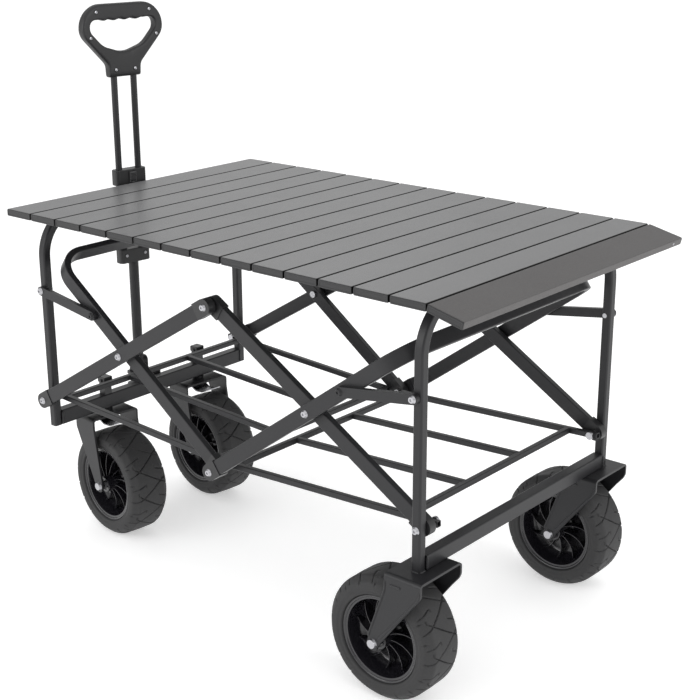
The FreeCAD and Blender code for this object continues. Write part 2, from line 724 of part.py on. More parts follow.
def handle_bracket():
    """The welded bracket on the front crossbar: a back plate and two lugs with a bore."""
    back_x = -LEG_X - FRONT_CROSSBAR_DEPTH / 2
    tip_x = HANDLE_X - 16
    half = BRACKET_HALF_WIDTH
    back = box(back_x - LUG_THICK, back_x, -half, half, BOTTOM_LUG_Z, TOP_LUG_Z + LUG_THICK)
    pieces = [back]
    for z in (BOTTOM_LUG_Z, TOP_LUG_Z):
        outline = ((back_x - 1, -half), (back_x - 1, half), (tip_x, half - 8), (tip_x, 8 - half))
        place = lambda a, b: Vector(a, b, z)
        pieces.append(prism(outline, (0.4, 0.4, 10, 10), place, UP * LUG_THICK))
    bracket = fuse(pieces)
    bore_start = Vector(HANDLE_X, 0, BOTTOM_LUG_Z - 1)
    bore_end = Vector(HANDLE_X, 0, TOP_LUG_Z + LUG_THICK + 1)
    return bracket.cut(rod(bore_start, bore_end, PIN_RADIUS + 1 + RUNNING_CLEARANCE))


def handle_yoke():
    """The swivelling yoke: a base on the upper lug and two ears for the tilt bolt."""
    base_z = TOP_LUG_Z + LUG_THICK + 0.3
    base = box(-12, 12, -14.3, 14.3, base_z, base_z + 4)
    pieces = [base]
    for side in SIDES:
        inner = side * 10.1
        outline = ((-11, base_z), (11, base_z), (11, 301), (-11, 301))
        pieces.append(side_plate(outline, (0.4, 0.4, 9, 9), inner, inner + side * 4.2))
    yoke = fuse(pieces)
    return drilled(yoke, ((0, HANDLE_PIVOT_Z),), -20, 20, PIN_RADIUS)


def yoke_pins():
    """The vertical swivel pin and the horizontal tilt bolt, both held by the yoke."""
    base_z = TOP_LUG_Z + LUG_THICK + 0.3
    pin = rod(Vector(0, 0, BOTTOM_LUG_Z - 5), Vector(0, 0, base_z), PIN_RADIUS + 1)
    foot = rod(Vector(0, 0, BOTTOM_LUG_Z - 5), Vector(0, 0, BOTTOM_LUG_Z - 0.3), 8.5)
    tilt = cross_rod(0, HANDLE_PIVOT_Z, -14.3, 14.3, PIN_RADIUS)
    pieces = [tilt]
    for side in SIDES:
        start = Vector(0, side * 14.3, HANDLE_PIVOT_Z)
        pieces.append(Part.makeCone(HEAD_RADIUS, HEAD_RADIUS - 2, HEAD_HEIGHT, start, ACROSS * side))
    return group([fuse([pin, foot]), fuse(pieces)])


def handle_stem():
    knuckle = cross_rod(0, HANDLE_PIVOT_Z, -9.8, 9.8, KNUCKLE_RADIUS)
    tube = rod(Vector(0, 0, HANDLE_PIVOT_Z), Vector(0, 0, LOWER_COLLAR[0] + 12), STEM_RADIUS)
    core = rod(Vector(0, 0, HANDLE_PIVOT_Z + 16), Vector(0, 0, LOWER_COLLAR[0] + 12), STEM_RADIUS - TUBE_WALL)
    stem = fuse([knuckle, tube]).cut(core)
    return drilled(stem, ((0, HANDLE_PIVOT_Z),), -20, 20)


def collar(bottom, top):
    """A moulded collar: a rounded block as wide as the pair of rods."""
    outline = rounded_rectangle(
        Vector(0, 0, bottom), ALONG, ACROSS, 2 * COLLAR_HALF_DEPTH, 2 * COLLAR_HALF_WIDTH, 8.0
    )
    block = Part.Face(outline).extrude(UP * (top - bottom))
    rims = [edge for edge in block.Edges if abs(edge.BoundBox.ZMax - edge.BoundBox.ZMin) < 1e-6]
    return block.makeFillet(1.5, rims)


def lower_collar():
    bottom, top = LOWER_COLLAR
    shape = collar(bottom, top)
    shape = shape.cut(rod(Vector(0, 0, bottom - 1), Vector(0, 0, bottom + 12), STEM_RADIUS))
    for side in SIDES:
        low = Vector(0, side * ROD_Y, bottom + 14)
        shape = shape.cut(rod(low, Vector(0, side * ROD_Y, top + 1), SLEEVE_RADIUS))
    return shape


def upper_collar():
    bottom, top = UPPER_COLLAR
    shape = collar(bottom, top)
    for side in SIDES:
        low = Vector(0, side * ROD_Y, bottom - 1)
        middle = Vector(0, side * ROD_Y, bottom + 16)
        high = Vector(0, side * ROD_Y, top + 1)
        shape = shape.cut(rod(low, middle, SLEEVE_RADIUS))
        shape = shape.cut(rod(middle, high, ROD_RADIUS + 2 * RUNNING_CLEARANCE))
    half = LATCH_HALF_WIDTH + 0.3
    pocket = box(0, COLLAR_HALF_DEPTH + 2, -half, half, bottom + 4.7, top - 3.7)
    return shape.cut(pocket)


def handle_latch():
    bottom, top = UPPER_COLLAR
    half = LATCH_HALF_WIDTH
    button = box(4.5, COLLAR_HALF_DEPTH + 4.5, -half, half, bottom + 5, top - 4)
    outer = [edge for edge in button.Edges if edge.BoundBox.XMin > COLLAR_HALF_DEPTH + 4]
    return button.makeFillet(2.5, outer)


def sleeves():
    pieces = []
    for side in SIDES:
        low = Vector(0, side * ROD_Y, LOWER_COLLAR[0] + 14)
        high = Vector(0, side * ROD_Y, UPPER_COLLAR[0] + 16)
        outer = rod(low, high, SLEEVE_RADIUS)
        pieces.append(outer.cut(rod(low, high, ROD_RADIUS + 2 * RUNNING_CLEARANCE)))
    return group(pieces)


def rods():
    pieces = []
    for side in SIDES:
        low = Vector(0, side * ROD_Y, ROD_BOTTOM_Z)
        high = Vector(0, side * ROD_Y, GRIP_BOTTOM_Z + 28)
        tube = rod(low, high, ROD_RADIUS).cut(rod(low, high, ROD_RADIUS - TUBE_WALL))
        pieces.append(tube)
    return group(pieces)


def mirrored_outline(half_points, half_radii):
    """A closed outline from its right half, listed from bottom to top."""
    left = [(-u, v) for u, v in reversed(half_points) if u > 0]
    left_radii = [radius for (u, v), radius in zip(reversed(half_points), reversed(half_radii)) if u > 0]
    return list(half_points) + left, list(half_radii) + left_radii


def grip_half(side):
    """One moulded half of the D-shaped grip, from the split plane outwards."""
    base = GRIP_BOTTOM_Z
    wide = GRIP_HALF_WIDTH
    outer = ((34.5, base), (35.5, base + 22), (wide, base + 77), (wide, GRIP_TOP_Z))
    outer_points, outer_radii = mirrored_outline(outer, (2, 18, 14, 44))
    hole = GRIP_WINDOW_HALF_WIDTH
    window = ((0, base + 44), (44, base + 57), (hole, base + 84), (hole, base + 105))
    window_points, window_radii = mirrored_outline(window, (60, 20, 8, 9))
    push = ALONG * side * GRIP_HALF_DEPTH
    place = lambda a, b: Vector(0, a, b)
    body = prism(outer_points, outer_radii, place, push)
    face_x = side * GRIP_HALF_DEPTH
    rim_edges = [edge for edge in body.Edges if abs(edge.BoundBox.XMin - face_x) < 0.01]
    rim_edges = [edge for edge in rim_edges if abs(edge.BoundBox.XMax - face_x) < 0.01]
    body = body.makeFillet(1.5, rim_edges)
    opening = prism(window_points, window_radii, lambda a, b: Vector(-20, a, b), ALONG * 40)
    body = body.cut(opening)
    for rod_side in SIDES:
        low = Vector(0, rod_side * ROD_Y, GRIP_BOTTOM_Z - 1)
        body = body.cut(rod(low, low + UP * 29, ROD_RADIUS))
    if side > 0:
        for u, z in GRIP_SCREWS:
            for mirror in SIDES:
                start = Vector(GRIP_HALF_DEPTH - GRIP_RECESS, mirror * u, z)
                body = body.cut(Part.makeCylinder(4.0, 4, start, ALONG))
    return body


def grip_screws():
    screws = []
    for u, z in GRIP_SCREWS:
        for mirror in SIDES:
            start = Vector(GRIP_HALF_DEPTH - GRIP_RECESS, mirror * u, z)
            screws.append(Part.makeCone(3.4, 2.4, 1.4, start, ALONG))
    return group(screws)


def write_handle():
    write("handle_bracket", handle_bracket())
    write("handle_yoke", turned(handle_yoke()))
    write("handle_yoke_pins", turned(yoke_pins()))
    write("handle_stem", leaned(handle_stem()))
    write("handle_lower_collar", leaned(lower_collar()))
    write("handle_upper_collar", leaned(upper_collar()))
    write("handle_latch", leaned(handle_latch()))
    write("handle_sleeves", leaned(sleeves()))
    write("handle_rods", leaned(rods()))
    write("grip_front_half", leaned(grip_half(-1)))
    write("grip_rear_half", leaned(grip_half(1)))
    write("grip_screws", leaned(grip_screws()))


# ================================================================ table top
def slat(x0):
    """A hollow flat slat with a softly rounded section."""
    middle = x0 + SLAT_WIDTH / 2
    centre = Vector(middle, -TABLE_HALF_WIDTH, TABLE_UNDERSIDE_Z + SLAT_THICK / 2)
    length = ACROSS * (2 * TABLE_HALF_WIDTH)
    outer = rounded_rectangle(centre, ALONG, UP, SLAT_WIDTH, SLAT_THICK, 1.5)
    whole = Part.Face(outer).extrude(length)
    inset = ACROSS * 3
    bore = rounded_rectangle(centre + inset, ALONG, UP, SLAT_WIDTH - 3, SLAT_THICK - 3, 0.5)
    return whole.cut(Part.Face(bore).extrude(length - inset * 2))


def end_slat():
    """The last slat, drooping about the top edge of the gap before it."""
    gap = SLAT_PITCH - SLAT_WIDTH
    start_x = TABLE_FRONT_X + SLAT_COUNT * SLAT_PITCH
    hinge = Vector(start_x - gap / 2, 0, TABLE_TOP_Z)
    shape = slat(start_x)
    shape.rotate(hinge, ACROSS, END_SLAT_DROOP)
    return shape


def rails():
    """Two long rails under the slats, their ends turned down outside the hoops."""
    top = TABLE_UNDERSIDE_Z
    bottom = top - RAIL_HEIGHT
    front_x = -LEG_X - LEG_SIZE / 2 - 12
    rear_x = LEG_X + LEG_SIZE / 2 + 12
    pieces = []
    for side in SIDES:
        y0 = min(side * RAIL_Y[0], side * RAIL_Y[1])
        y1 = max(side * RAIL_Y[0], side * RAIL_Y[1])
        rail = box(front_x, rear_x, y0, y1, bottom, top)
        front_hook = box(front_x, front_x + 10, y0, y1, bottom - 11, bottom)
        rear_hook = box(rear_x - 10, rear_x, y0, y1, bottom - 11, bottom)
        pieces.append(fuse([rail, front_hook, rear_hook]))
    return group(pieces)


def connectors():
    """The small joiners in the gaps between the flat slats."""
    gap = SLAT_PITCH - SLAT_WIDTH
    pieces = []
    for index in range(1, SLAT_COUNT):
        x1 = TABLE_FRONT_X + index * SLAT_PITCH
        for side in SIDES:
            y = side * CONNECTOR_Y
            pieces.append(box(x1 - gap, x1, y - 5, y + 5, TABLE_UNDERSIDE_Z + 2, TABLE_TOP_Z - 1.5))
    return group(pieces)


def write_table():
    slats = [slat(TABLE_FRONT_X + index * SLAT_PITCH) for index in range(SLAT_COUNT)]
    write("table_slats", group(slats))
    write("table_end_slat", end_slat())
    write("table_rails", rails())
    write("slat_connectors", connectors())


# ================================================================ the whole wagon
write_front_frame()
write_rear_frame()
write_bars()
link_ends = write_u_bars()
write_links(link_ends[0], link_ends[1])
write_racks()
write_wheels()
write_handle()
write_table()

overall = FreeCAD.BoundBox()
for node, shape in written:
    overall.add(shape.BoundBox)
    solids = shape.Solids
    closed = all(solid.isValid() for solid in solids)
    print("%-24s solids %2d  volume %9.1f cm3  valid %s" % (node, len(solids), shape.Volume / 1000, closed))
print("nodes", len(written), "box", overall)
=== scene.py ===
# %% [markdown]
# # A folding camp wagon, finished in Blender
#
# The real thing is a steel frame with side scissors, a roll-up table top of aluminium slats, four
# wide wheels and a telescoping pull handle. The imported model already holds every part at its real
# size and knows how each one moves. This lesson dresses that frame: it loads it, sets the camera
# and the studio, builds the finishes from shader nodes, and models the pieces whose looks need
# more than a machined shape, such as the tyres, the rims and the moulded grip.

import json
import math

import bpy
import numpy as np
from mathutils import Matrix, Vector


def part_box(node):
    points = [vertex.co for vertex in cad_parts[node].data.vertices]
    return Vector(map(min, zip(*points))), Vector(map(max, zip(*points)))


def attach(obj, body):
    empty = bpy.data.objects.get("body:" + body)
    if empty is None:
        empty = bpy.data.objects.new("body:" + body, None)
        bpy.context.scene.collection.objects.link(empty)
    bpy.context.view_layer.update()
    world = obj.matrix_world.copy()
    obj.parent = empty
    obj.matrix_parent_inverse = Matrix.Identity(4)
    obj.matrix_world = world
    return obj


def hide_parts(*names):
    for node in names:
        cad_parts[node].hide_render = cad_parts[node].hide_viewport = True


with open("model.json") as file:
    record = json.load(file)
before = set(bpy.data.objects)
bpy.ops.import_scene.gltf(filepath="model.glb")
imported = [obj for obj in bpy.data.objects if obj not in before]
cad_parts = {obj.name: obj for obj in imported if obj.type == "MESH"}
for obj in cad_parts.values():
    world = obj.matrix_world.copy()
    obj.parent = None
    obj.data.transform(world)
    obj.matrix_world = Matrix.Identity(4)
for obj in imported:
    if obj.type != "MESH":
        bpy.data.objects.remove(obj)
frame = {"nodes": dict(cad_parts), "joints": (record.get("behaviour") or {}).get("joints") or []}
NODES = frame["nodes"]
JOINTS = {joint["name"]: joint for joint in frame["joints"]}
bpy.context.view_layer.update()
MM = 0.001

# %% [markdown]
# ## Camera
#
# The product view looks down on the wagon from its near rear corner with a long lens, so that
# parallel slats stay nearly parallel. The camera is set by where it stands and by an azimuth, a
# downward pitch and a slight roll, because those are easier to read than a matrix.

# %% Aim the camera
AZIMUTH = math.radians(40.19)
PITCH = math.radians(18.33)
ROLL = math.radians(-0.14)
CAMERA_PLACE = Vector((1.5288, -1.7458, 1.1812))
LENS_MM = 72.75

forward = Vector(
    (-math.sin(AZIMUTH) * math.cos(PITCH), math.cos(AZIMUTH) * math.cos(PITCH), -math.sin(PITCH))
)
camera = bpy.data.objects.new("product_camera", bpy.data.cameras.new("product_camera"))
bpy.context.scene.collection.objects.link(camera)
turn = forward.to_track_quat("-Z", "Y").to_matrix() @ Matrix.Rotation(ROLL, 3, "Z")
camera.matrix_world = Matrix.Translation(CAMERA_PLACE) @ turn.to_4x4()
camera.data.lens = LENS_MM
camera.data.shift_x = 0.0046
camera.data.shift_y = 0.0011
bpy.context.scene.camera = camera
print("camera stands", round(CAMERA_PLACE.length, 2), "m from the wagon's foot")

# %% [markdown]
# ## Studio
#
# A dark powder-coated frame is best shown on a pale sweep in very even light: wide area lights
# give the tubes long soft highlights, and a bright world fills what faces away. The floor is one
# large plane, and it isn't part of the wagon.

# %% Floor, world and lights
FLOOR_HALF = 30.0
floor_mesh = bpy.data.meshes.new("floor")
corners = [(-FLOOR_HALF, -FLOOR_HALF, 0), (FLOOR_HALF, -FLOOR_HALF, 0)]
corners += [(FLOOR_HALF, FLOOR_HALF, 0), (-FLOOR_HALF, FLOOR_HALF, 0)]
floor_mesh.from_pydata(corners, [], [(0, 1, 2, 3)])
floor = bpy.data.objects.new("studio_floor", floor_mesh)
bpy.context.scene.collection.objects.link(floor)

world = bpy.data.worlds.new("studio")
world.use_nodes = True
world.node_tree.nodes["Background"].inputs["Color"].default_value = (1.0, 1.0, 1.0, 1.0)
world.node_tree.nodes["Background"].inputs["Strength"].default_value = 0.8
bpy.context.scene.world = world
bpy.context.scene.view_settings.view_transform = "Standard"


def soft_light(name, place, target, width, height, watts):
    """An area light of that size in metres at place, turned so that it faces target."""
    data = bpy.data.lights.new(name, "AREA")
    data.shape = "RECTANGLE"
    data.size = width
    data.size_y = height
    data.energy = watts
    lamp = bpy.data.objects.new(name, data)
    lamp.location = place
    lamp.rotation_euler = (Vector(target) - Vector(place)).to_track_quat("-Z", "Y").to_euler()
    bpy.context.scene.collection.objects.link(lamp)
    return lamp


MIDDLE = (0.0, 0.0, 0.4)
soft_light("overhead_bank", (0.9, -0.9, 3.2), MIDDLE, 4.0, 4.0, 20.0)
soft_light("near_side_bank", (-1.6, -3.2, 1.6), MIDDLE, 2.4, 1.6, 34.0)
soft_light("rear_strip", (3.4, 0.6, 1.5), MIDDLE, 1.0, 2.2, 26.0)
soft_light("back_strip", (-3.2, 3.4, 3.2), MIDDLE, 1.6, 1.6, 7.0)

# %% [markdown]
# ## Shader groups
#
# Four effects come back in most finishes. Powder coat, anodised slats and moulded plastic all
# have a fine skin of tiny bumps; metal and paint carry flecks; nothing that is handled is evenly
# shiny; and some surfaces have a direction. Each effect is one node group with named sockets, so
# that every material can place it with its own values. All of them read Object coordinates, in
# metres, which stay on the piece while it moves.

# %% Helpers that wire nodes
GROUPS = {}


def start_group(name, inputs, outputs):
    """An empty shader group with (name, kind, default) inputs and (name, kind) outputs."""
    group = bpy.data.node_groups.new(name, "ShaderNodeTree")
    for label, kind, default in inputs:
        socket = group.interface.new_socket(label, in_out="INPUT", socket_type=kind)
        socket.default_value = default
    for label, kind in outputs:
        group.interface.new_socket(label, in_out="OUTPUT", socket_type=kind)
    GROUPS[name] = group
    return group, group.nodes.new("NodeGroupInput"), group.nodes.new("NodeGroupOutput")


def add_node(tree, kind, links=None, **values):
    """A node of that kind with its properties set and its sockets fed by name or index."""
    node = tree.nodes.new(kind)
    for key, value in values.items():
        setattr(node, key, value)
    for key, source in (links or {}).items():
        if isinstance(source, bpy.types.NodeSocket):
            tree.links.new(source, node.inputs[key])
        else:
            node.inputs[key].default_value = source
    return node


def object_space(tree):
    return tree.nodes.new("ShaderNodeTexCoord").outputs["Object"]


def math_node(tree, operation, a, b=0.0, c=0.0):
    return add_node(tree, "ShaderNodeMath", {0: a, 1: b, 2: c}, operation=operation).outputs[0]


FLOAT = "NodeSocketFloat"
COLOR = "NodeSocketColor"

# %% Flecks: scattered lighter or darker specks
tree, given, result = start_group(
    "Flecks",
    [("Base", COLOR, (0.1, 0.1, 0.1, 1)), ("Fleck", COLOR, (0.2, 0.2, 0.2, 1)),
     ("Scale", FLOAT, 900.0), ("Amount", FLOAT, 0.5)],
    [("Color", COLOR), ("Mask", FLOAT)],
)
place = object_space(tree)
fine = add_node(tree, "ShaderNodeTexNoise", {"Vector": place, "Scale": given.outputs["Scale"],
                                             "Detail": 2.0, "Roughness": 0.7})
sharp = add_node(tree, "ShaderNodeMapRange", {"Value": fine.outputs["Fac"], "From Min": 0.42,
                                              "From Max": 0.66, "To Min": 0.0, "To Max": 1.0})
mask = math_node(tree, "MULTIPLY", sharp.outputs["Result"], given.outputs["Amount"])
mixed = add_node(tree, "ShaderNodeMix", {0: mask, 6: given.outputs["Base"],
                                         7: given.outputs["Fleck"]}, data_type="RGBA")
tree.links.new(mixed.outputs[2], result.inputs["Color"])
tree.links.new(mask, result.inputs["Mask"])

# %% Skin: the fine bumps of a coat or a mould, as a height
tree, given, result = start_group(
    "Skin",
    [("Scale", FLOAT, 1200.0), ("Depth", FLOAT, 0.00002), ("Wave", FLOAT, 0.00005)],
    [("Height", FLOAT)],
)
place = object_space(tree)
peel = add_node(tree, "ShaderNodeTexNoise", {"Vector": place, "Scale": given.outputs["Scale"],
                                             "Detail": 3.0})
slow = add_node(tree, "ShaderNodeTexNoise", {"Vector": place, "Scale": 45.0, "Detail": 1.0})
small = math_node(tree, "MULTIPLY", peel.outputs["Fac"], given.outputs["Depth"])
large = math_node(tree, "MULTIPLY", slow.outputs["Fac"], given.outputs["Wave"])
tree.links.new(math_node(tree, "ADD", small, large), result.inputs["Height"])

# %% Handling: patches where fingers and dust change the shine
tree, given, result = start_group(
    "Handling",
    [("Roughness", FLOAT, 0.45), ("Spread", FLOAT, 0.12), ("Scale", FLOAT, 9.0)],
    [("Roughness", FLOAT), ("Mask", FLOAT)],
)
place = object_space(tree)
cloud = add_node(tree, "ShaderNodeTexNoise", {"Vector": place, "Scale": given.outputs["Scale"],
                                              "Detail": 5.0, "Roughness": 0.62})
centred = math_node(tree, "SUBTRACT", cloud.outputs["Fac"], 0.5)
swing = math_node(tree, "MULTIPLY", centred, given.outputs["Spread"])
tree.links.new(math_node(tree, "ADD", given.outputs["Roughness"], swing), result.inputs["Roughness"])
tree.links.new(cloud.outputs["Fac"], result.inputs["Mask"])

# %% Grain: fine streaks along one direction
tree, given, result = start_group(
    "Grain",
    [("Along Y", FLOAT, 30.0), ("Across", FLOAT, 1400.0), ("Depth", FLOAT, 0.00002)],
    [("Height", FLOAT), ("Mask", FLOAT)],
)
place = object_space(tree)
stretch = tree.nodes.new("ShaderNodeCombineXYZ")
tree.links.new(given.outputs["Across"], stretch.inputs["X"])
tree.links.new(given.outputs["Along Y"], stretch.inputs["Y"])
tree.links.new(given.outputs["Across"], stretch.inputs["Z"])
scaled = add_node(tree, "ShaderNodeVectorMath", {0: place, 1: stretch.outputs[0]},
                  operation="MULTIPLY")
streaks = add_node(tree, "ShaderNodeTexNoise", {"Vector": scaled.outputs[0], "Scale": 1.0,
                                                "Detail": 2.0})
tree.links.new(math_node(tree, "MULTIPLY", streaks.outputs["Fac"], given.outputs["Depth"]),
               result.inputs["Height"])
tree.links.new(streaks.outputs["Fac"], result.inputs["Mask"])

# %% Painted gap shade: dark bands that repeat along X, one at each edge of every slat, painted where the gaps between slats fall into shade
tree, given, result = start_group(
    "Painted Gap Shade",
    [("Color", COLOR, (0.1, 0.1, 0.1, 1)), ("Painted Shade", COLOR, (0.003, 0.003, 0.003, 1)),
     ("Start", FLOAT, 0.0), ("Pitch", FLOAT, 0.06456), ("Width", FLOAT, 0.0615),
     ("Edge", FLOAT, 0.0008)],
    [("Color", COLOR), ("Mask", FLOAT)],
)
apart = add_node(tree, "ShaderNodeSeparateXYZ", {0: object_space(tree)})
along = math_node(tree, "SUBTRACT", apart.outputs["X"], given.outputs["Start"])
inside = math_node(tree, "FLOORED_MODULO", along, given.outputs["Pitch"])
limit = math_node(tree, "SUBTRACT", given.outputs["Width"], given.outputs["Edge"])
# Within Edge of either side of a slat, the colour turns to the painted shade of the gap
past = math_node(tree, "GREATER_THAN", inside, limit)
before = math_node(tree, "LESS_THAN", inside, given.outputs["Edge"])
gap_shade = math_node(tree, "MAXIMUM", past, before)
mixed = add_node(tree, "ShaderNodeMix", {0: gap_shade, 6: given.outputs["Color"],
                                         7: given.outputs["Painted Shade"]}, data_type="RGBA")
tree.links.new(mixed.outputs[2], result.inputs["Color"])
tree.links.new(gap_shade, result.inputs["Mask"])
print("shader groups", sorted(GROUPS))

# %% [markdown]
# ## Finishes
#
# Each finish is a Principled shader fed by the groups. The values that stay the same all over a
# surface, such as the metal look or the coat, are set on the shader itself.

# %% Build a finish from the groups
def finish_of(name, base, fleck, roughness, metallic=0.0, fleck_scale=900.0, fleck_amount=0.5,
              spread=0.12, skin=(1200.0, 0.00002, 0.00005), grain=None, coat=0.0, specular=0.5,
              handling_scale=9.0):
    """Colour flecks, uneven shine and a bumpy skin on one Principled shader."""
    material = bpy.data.materials.new(name)
    material.use_nodes = True
    tree = material.node_tree
    shader = tree.nodes["Principled BSDF"]
    flecks = add_node(tree, "ShaderNodeGroup", node_tree=GROUPS["Flecks"])
    flecks.inputs["Base"].default_value = (*base, 1)
    flecks.inputs["Fleck"].default_value = (*fleck, 1)
    flecks.inputs["Scale"].default_value = fleck_scale
    flecks.inputs["Amount"].default_value = fleck_amount
    tree.links.new(flecks.outputs["Color"], shader.inputs["Base Color"])
    shine = add_node(tree, "ShaderNodeGroup", node_tree=GROUPS["Handling"])
    shine.inputs["Roughness"].default_value = roughness
    shine.inputs["Spread"].default_value = spread
    shine.inputs["Scale"].default_value = handling_scale
    tree.links.new(shine.outputs["Roughness"], shader.inputs["Roughness"])
    if grain:
        relief = add_node(tree, "ShaderNodeGroup", node_tree=GROUPS["Grain"])
        relief.inputs["Along Y"].default_value = grain[0]
        relief.inputs["Across"].default_value = grain[1]
        relief.inputs["Depth"].default_value = grain[2]
    else:
        relief = add_node(tree, "ShaderNodeGroup", node_tree=GROUPS["Skin"])
        relief.inputs["Scale"].default_value = skin[0]
        relief.inputs["Depth"].default_value = skin[1]
        relief.inputs["Wave"].default_value = skin[2]
    bump = add_node(tree, "ShaderNodeBump", {"Height": relief.outputs["Height"], "Distance": 1.0})
    tree.links.new(bump.outputs["Normal"], shader.inputs["Normal"])
    shader.inputs["Metallic"].default_value = metallic
    shader.inputs["Coat Weight"].default_value = coat
    shader.inputs["Coat Roughness"].default_value = 0.2
    shader.inputs["Specular IOR Level"].default_value = specular
    return material


POWDER = finish_of("charcoal_powder_coat", (0.014, 0.014, 0.0155), (0.034, 0.034, 0.037), 0.38,
                   fleck_scale=2600.0, fleck_amount=0.35, specular=0.36, skin=(1500.0, 0.00003, 0.00004))
SLAT = finish_of("grey_slat_coat", (0.105, 0.105, 0.107), (0.25, 0.25, 0.253), 0.33,
                 fleck_scale=1500.0, fleck_amount=0.8, skin=(1500.0, 0.00004, 0.0), spread=0.1,
                 specular=0.24)
END_SLAT = finish_of("dark_grained_slat", (0.060, 0.057, 0.057), (0.115, 0.110, 0.108), 0.5,
                     fleck_scale=1100.0, fleck_amount=0.8, grain=(60.0, 900.0, 0.0001))
MOULDED = finish_of("matte_moulded_plastic", (0.0095, 0.0095, 0.0105), (0.018, 0.018, 0.019), 0.44,
                    fleck_scale=1600.0, fleck_amount=0.4, skin=(2200.0, 0.00003, 0.00003))
CAP_PLASTIC = finish_of("end_cap_plastic", (0.014, 0.014, 0.015), (0.024, 0.024, 0.025), 0.36,
                        fleck_scale=1600.0, fleck_amount=0.3, skin=(1800.0, 0.00002, 0.00003))
RIM_GLOSS = finish_of("glossy_rim_plastic", (0.009, 0.0085, 0.011), (0.015, 0.0145, 0.018), 0.2,
                      fleck_scale=400.0, fleck_amount=0.3, skin=(600.0, 0.00001, 0.00003),
                      coat=0.4)
RUBBER = finish_of("tyre_rubber", (0.027, 0.027, 0.028), (0.042, 0.041, 0.041), 0.62,
                   fleck_scale=700.0, fleck_amount=0.5, skin=(1300.0, 0.00005, 0.0001),
                   spread=0.2, handling_scale=26.0, specular=0.35)
ZINC = finish_of("zinc_plate", (0.42, 0.42, 0.44), (0.62, 0.62, 0.64), 0.28, metallic=1.0,
                 fleck_scale=1200.0, fleck_amount=0.5, grain=(700.0, 2600.0, 0.000012))
DARK_STEEL = finish_of("black_oxide_steel", (0.022, 0.022, 0.024), (0.05, 0.05, 0.052), 0.34,
                       metallic=0.6, fleck_scale=1500.0)
# Near-black painted shade, for the screw cups and the slat gap lips, where recesses and gaps fall into
# shade
PAINTED_SHADE_BLACK = finish_of("painted_shade_black", (0.004, 0.004, 0.004), (0.008, 0.008, 0.008), 0.6)
LATCH_SHINE = finish_of("polished_latch_plastic", (0.02, 0.02, 0.022), (0.03, 0.03, 0.03), 0.16,
                        fleck_amount=0.2, skin=(500.0, 0.00001, 0.00002), coat=0.5)
FLOOR_PAINT = finish_of("studio_floor_paint", (0.86, 0.86, 0.86), (0.88, 0.88, 0.88), 0.75,
                        fleck_scale=40.0, skin=(90.0, 0.00002, 0.0))
floor_shader = FLOOR_PAINT.node_tree.nodes["Principled BSDF"]
floor_shader.inputs["Emission Color"].default_value = (1.0, 1.0, 1.0, 1.0)
floor_shader.inputs["Emission Strength"].default_value = 0.42
floor.data.materials.append(FLOOR_PAINT)
print("finishes", len(bpy.data.materials))

# %% [markdown]
# ## Finishes for the carried-over parts
#
# Where the frame already has the right shape, the part keeps its own mesh and only takes a new
# finish. The choice follows what the part is made of, which its name tells. Seen
# from above, a slat's rounded edges and the gap beside it fall into shade and read as one black
# line, and a band of painted shade repeated along the edges of every slat gives that line its width.

# %% Give every CAD node its finish
FINISH_BY_WORD = (
    ("tyre", RUBBER), ("rim", RIM_GLOSS), ("end_slat", END_SLAT), ("slats", SLAT),
    ("connectors", CAP_PLASTIC), ("posts", CAP_PLASTIC), ("caps", CAP_PLASTIC),
    ("latch", LATCH_SHINE), ("collar", MOULDED), ("grip_screws", ZINC), ("grip", MOULDED),
    ("bolts", ZINC), ("axle", ZINC), ("pins", ZINC), ("brake", ZINC), ("kingpin", DARK_STEEL),
)


def finish_for(node_name):
    for word, material in FINISH_BY_WORD:
        if word in node_name:
            return material
    return POWDER


slats = NODES["table_slats"]
slat_x = np.empty(len(slats.data.vertices) * 3)
slats.data.vertices.foreach_get("co", slat_x)
# The slat finish takes the painted gap shade: a near-black band along both edges of each slat, for the
# shade in the gaps between slats
slat_tree = SLAT.node_tree
slat_shader = slat_tree.nodes["Principled BSDF"]
speckle = slat_shader.inputs["Base Color"].links[0].from_socket
gap_shade_group = add_node(slat_tree, "ShaderNodeGroup", node_tree=GROUPS["Painted Gap Shade"])
gap_shade_group.inputs["Start"].default_value = float(slat_x[0::3].min())
slat_tree.links.new(speckle, gap_shade_group.inputs["Color"])
slat_tree.links.new(gap_shade_group.outputs["Color"], slat_shader.inputs["Base Color"])
print("first slat starts at", round(float(slat_x[0::3].min()), 4))

for node_name, thing in NODES.items():
    thing.data.materials.clear()
    thing.data.materials.append(finish_for(node_name))
print("powder coated parts", sum(finish_for(name) is POWDER for name in NODES))

# %% [markdown]
# ## Surfaces from arrays
#
# The new pieces are worked out as arrays. A surface is a grid of points, every grid is joined
# into quads the same way, and a closed shell is turned outwards by the sign of its volume. That
# keeps each piece down to the formula of its shape.

# %% Grids, shells and pieces
def grid_faces(rows, columns, close_rows=False, close_columns=False):
    """Quads of a rows x columns grid; a closed direction joins its last line to its first."""
    row = np.arange(rows if close_rows else rows - 1)
    column = np.arange(columns if close_columns else columns - 1)
    row, column = np.meshgrid(row, column, indexing="ij")
    next_row = (row + 1) % rows
    next_column = (column + 1) % columns
    quads = np.stack([row * columns + column, row * columns + next_column,
                      next_row * columns + next_column, next_row * columns + column], axis=-1)
    return quads.reshape(-1, 4)


def lidded(rings):
    """Points and faces of stacked closed rings, with a flat lid of triangles on each end."""
    count, around = rings.shape[:2]
    points = np.concatenate([rings.reshape(-1, 3), rings[:1].mean(1), rings[-1:].mean(1)])
    faces = grid_faces(count, around, close_columns=True).tolist()
    edge = np.arange(around)
    after = (edge + 1) % around
    first, last = count * around, count * around + 1
    faces += np.stack([after, edge, np.full(around, first)], 1).tolist()
    top = (count - 1) * around
    faces += np.stack([top + edge, top + after, np.full(around, last)], 1).tolist()
    return points, faces


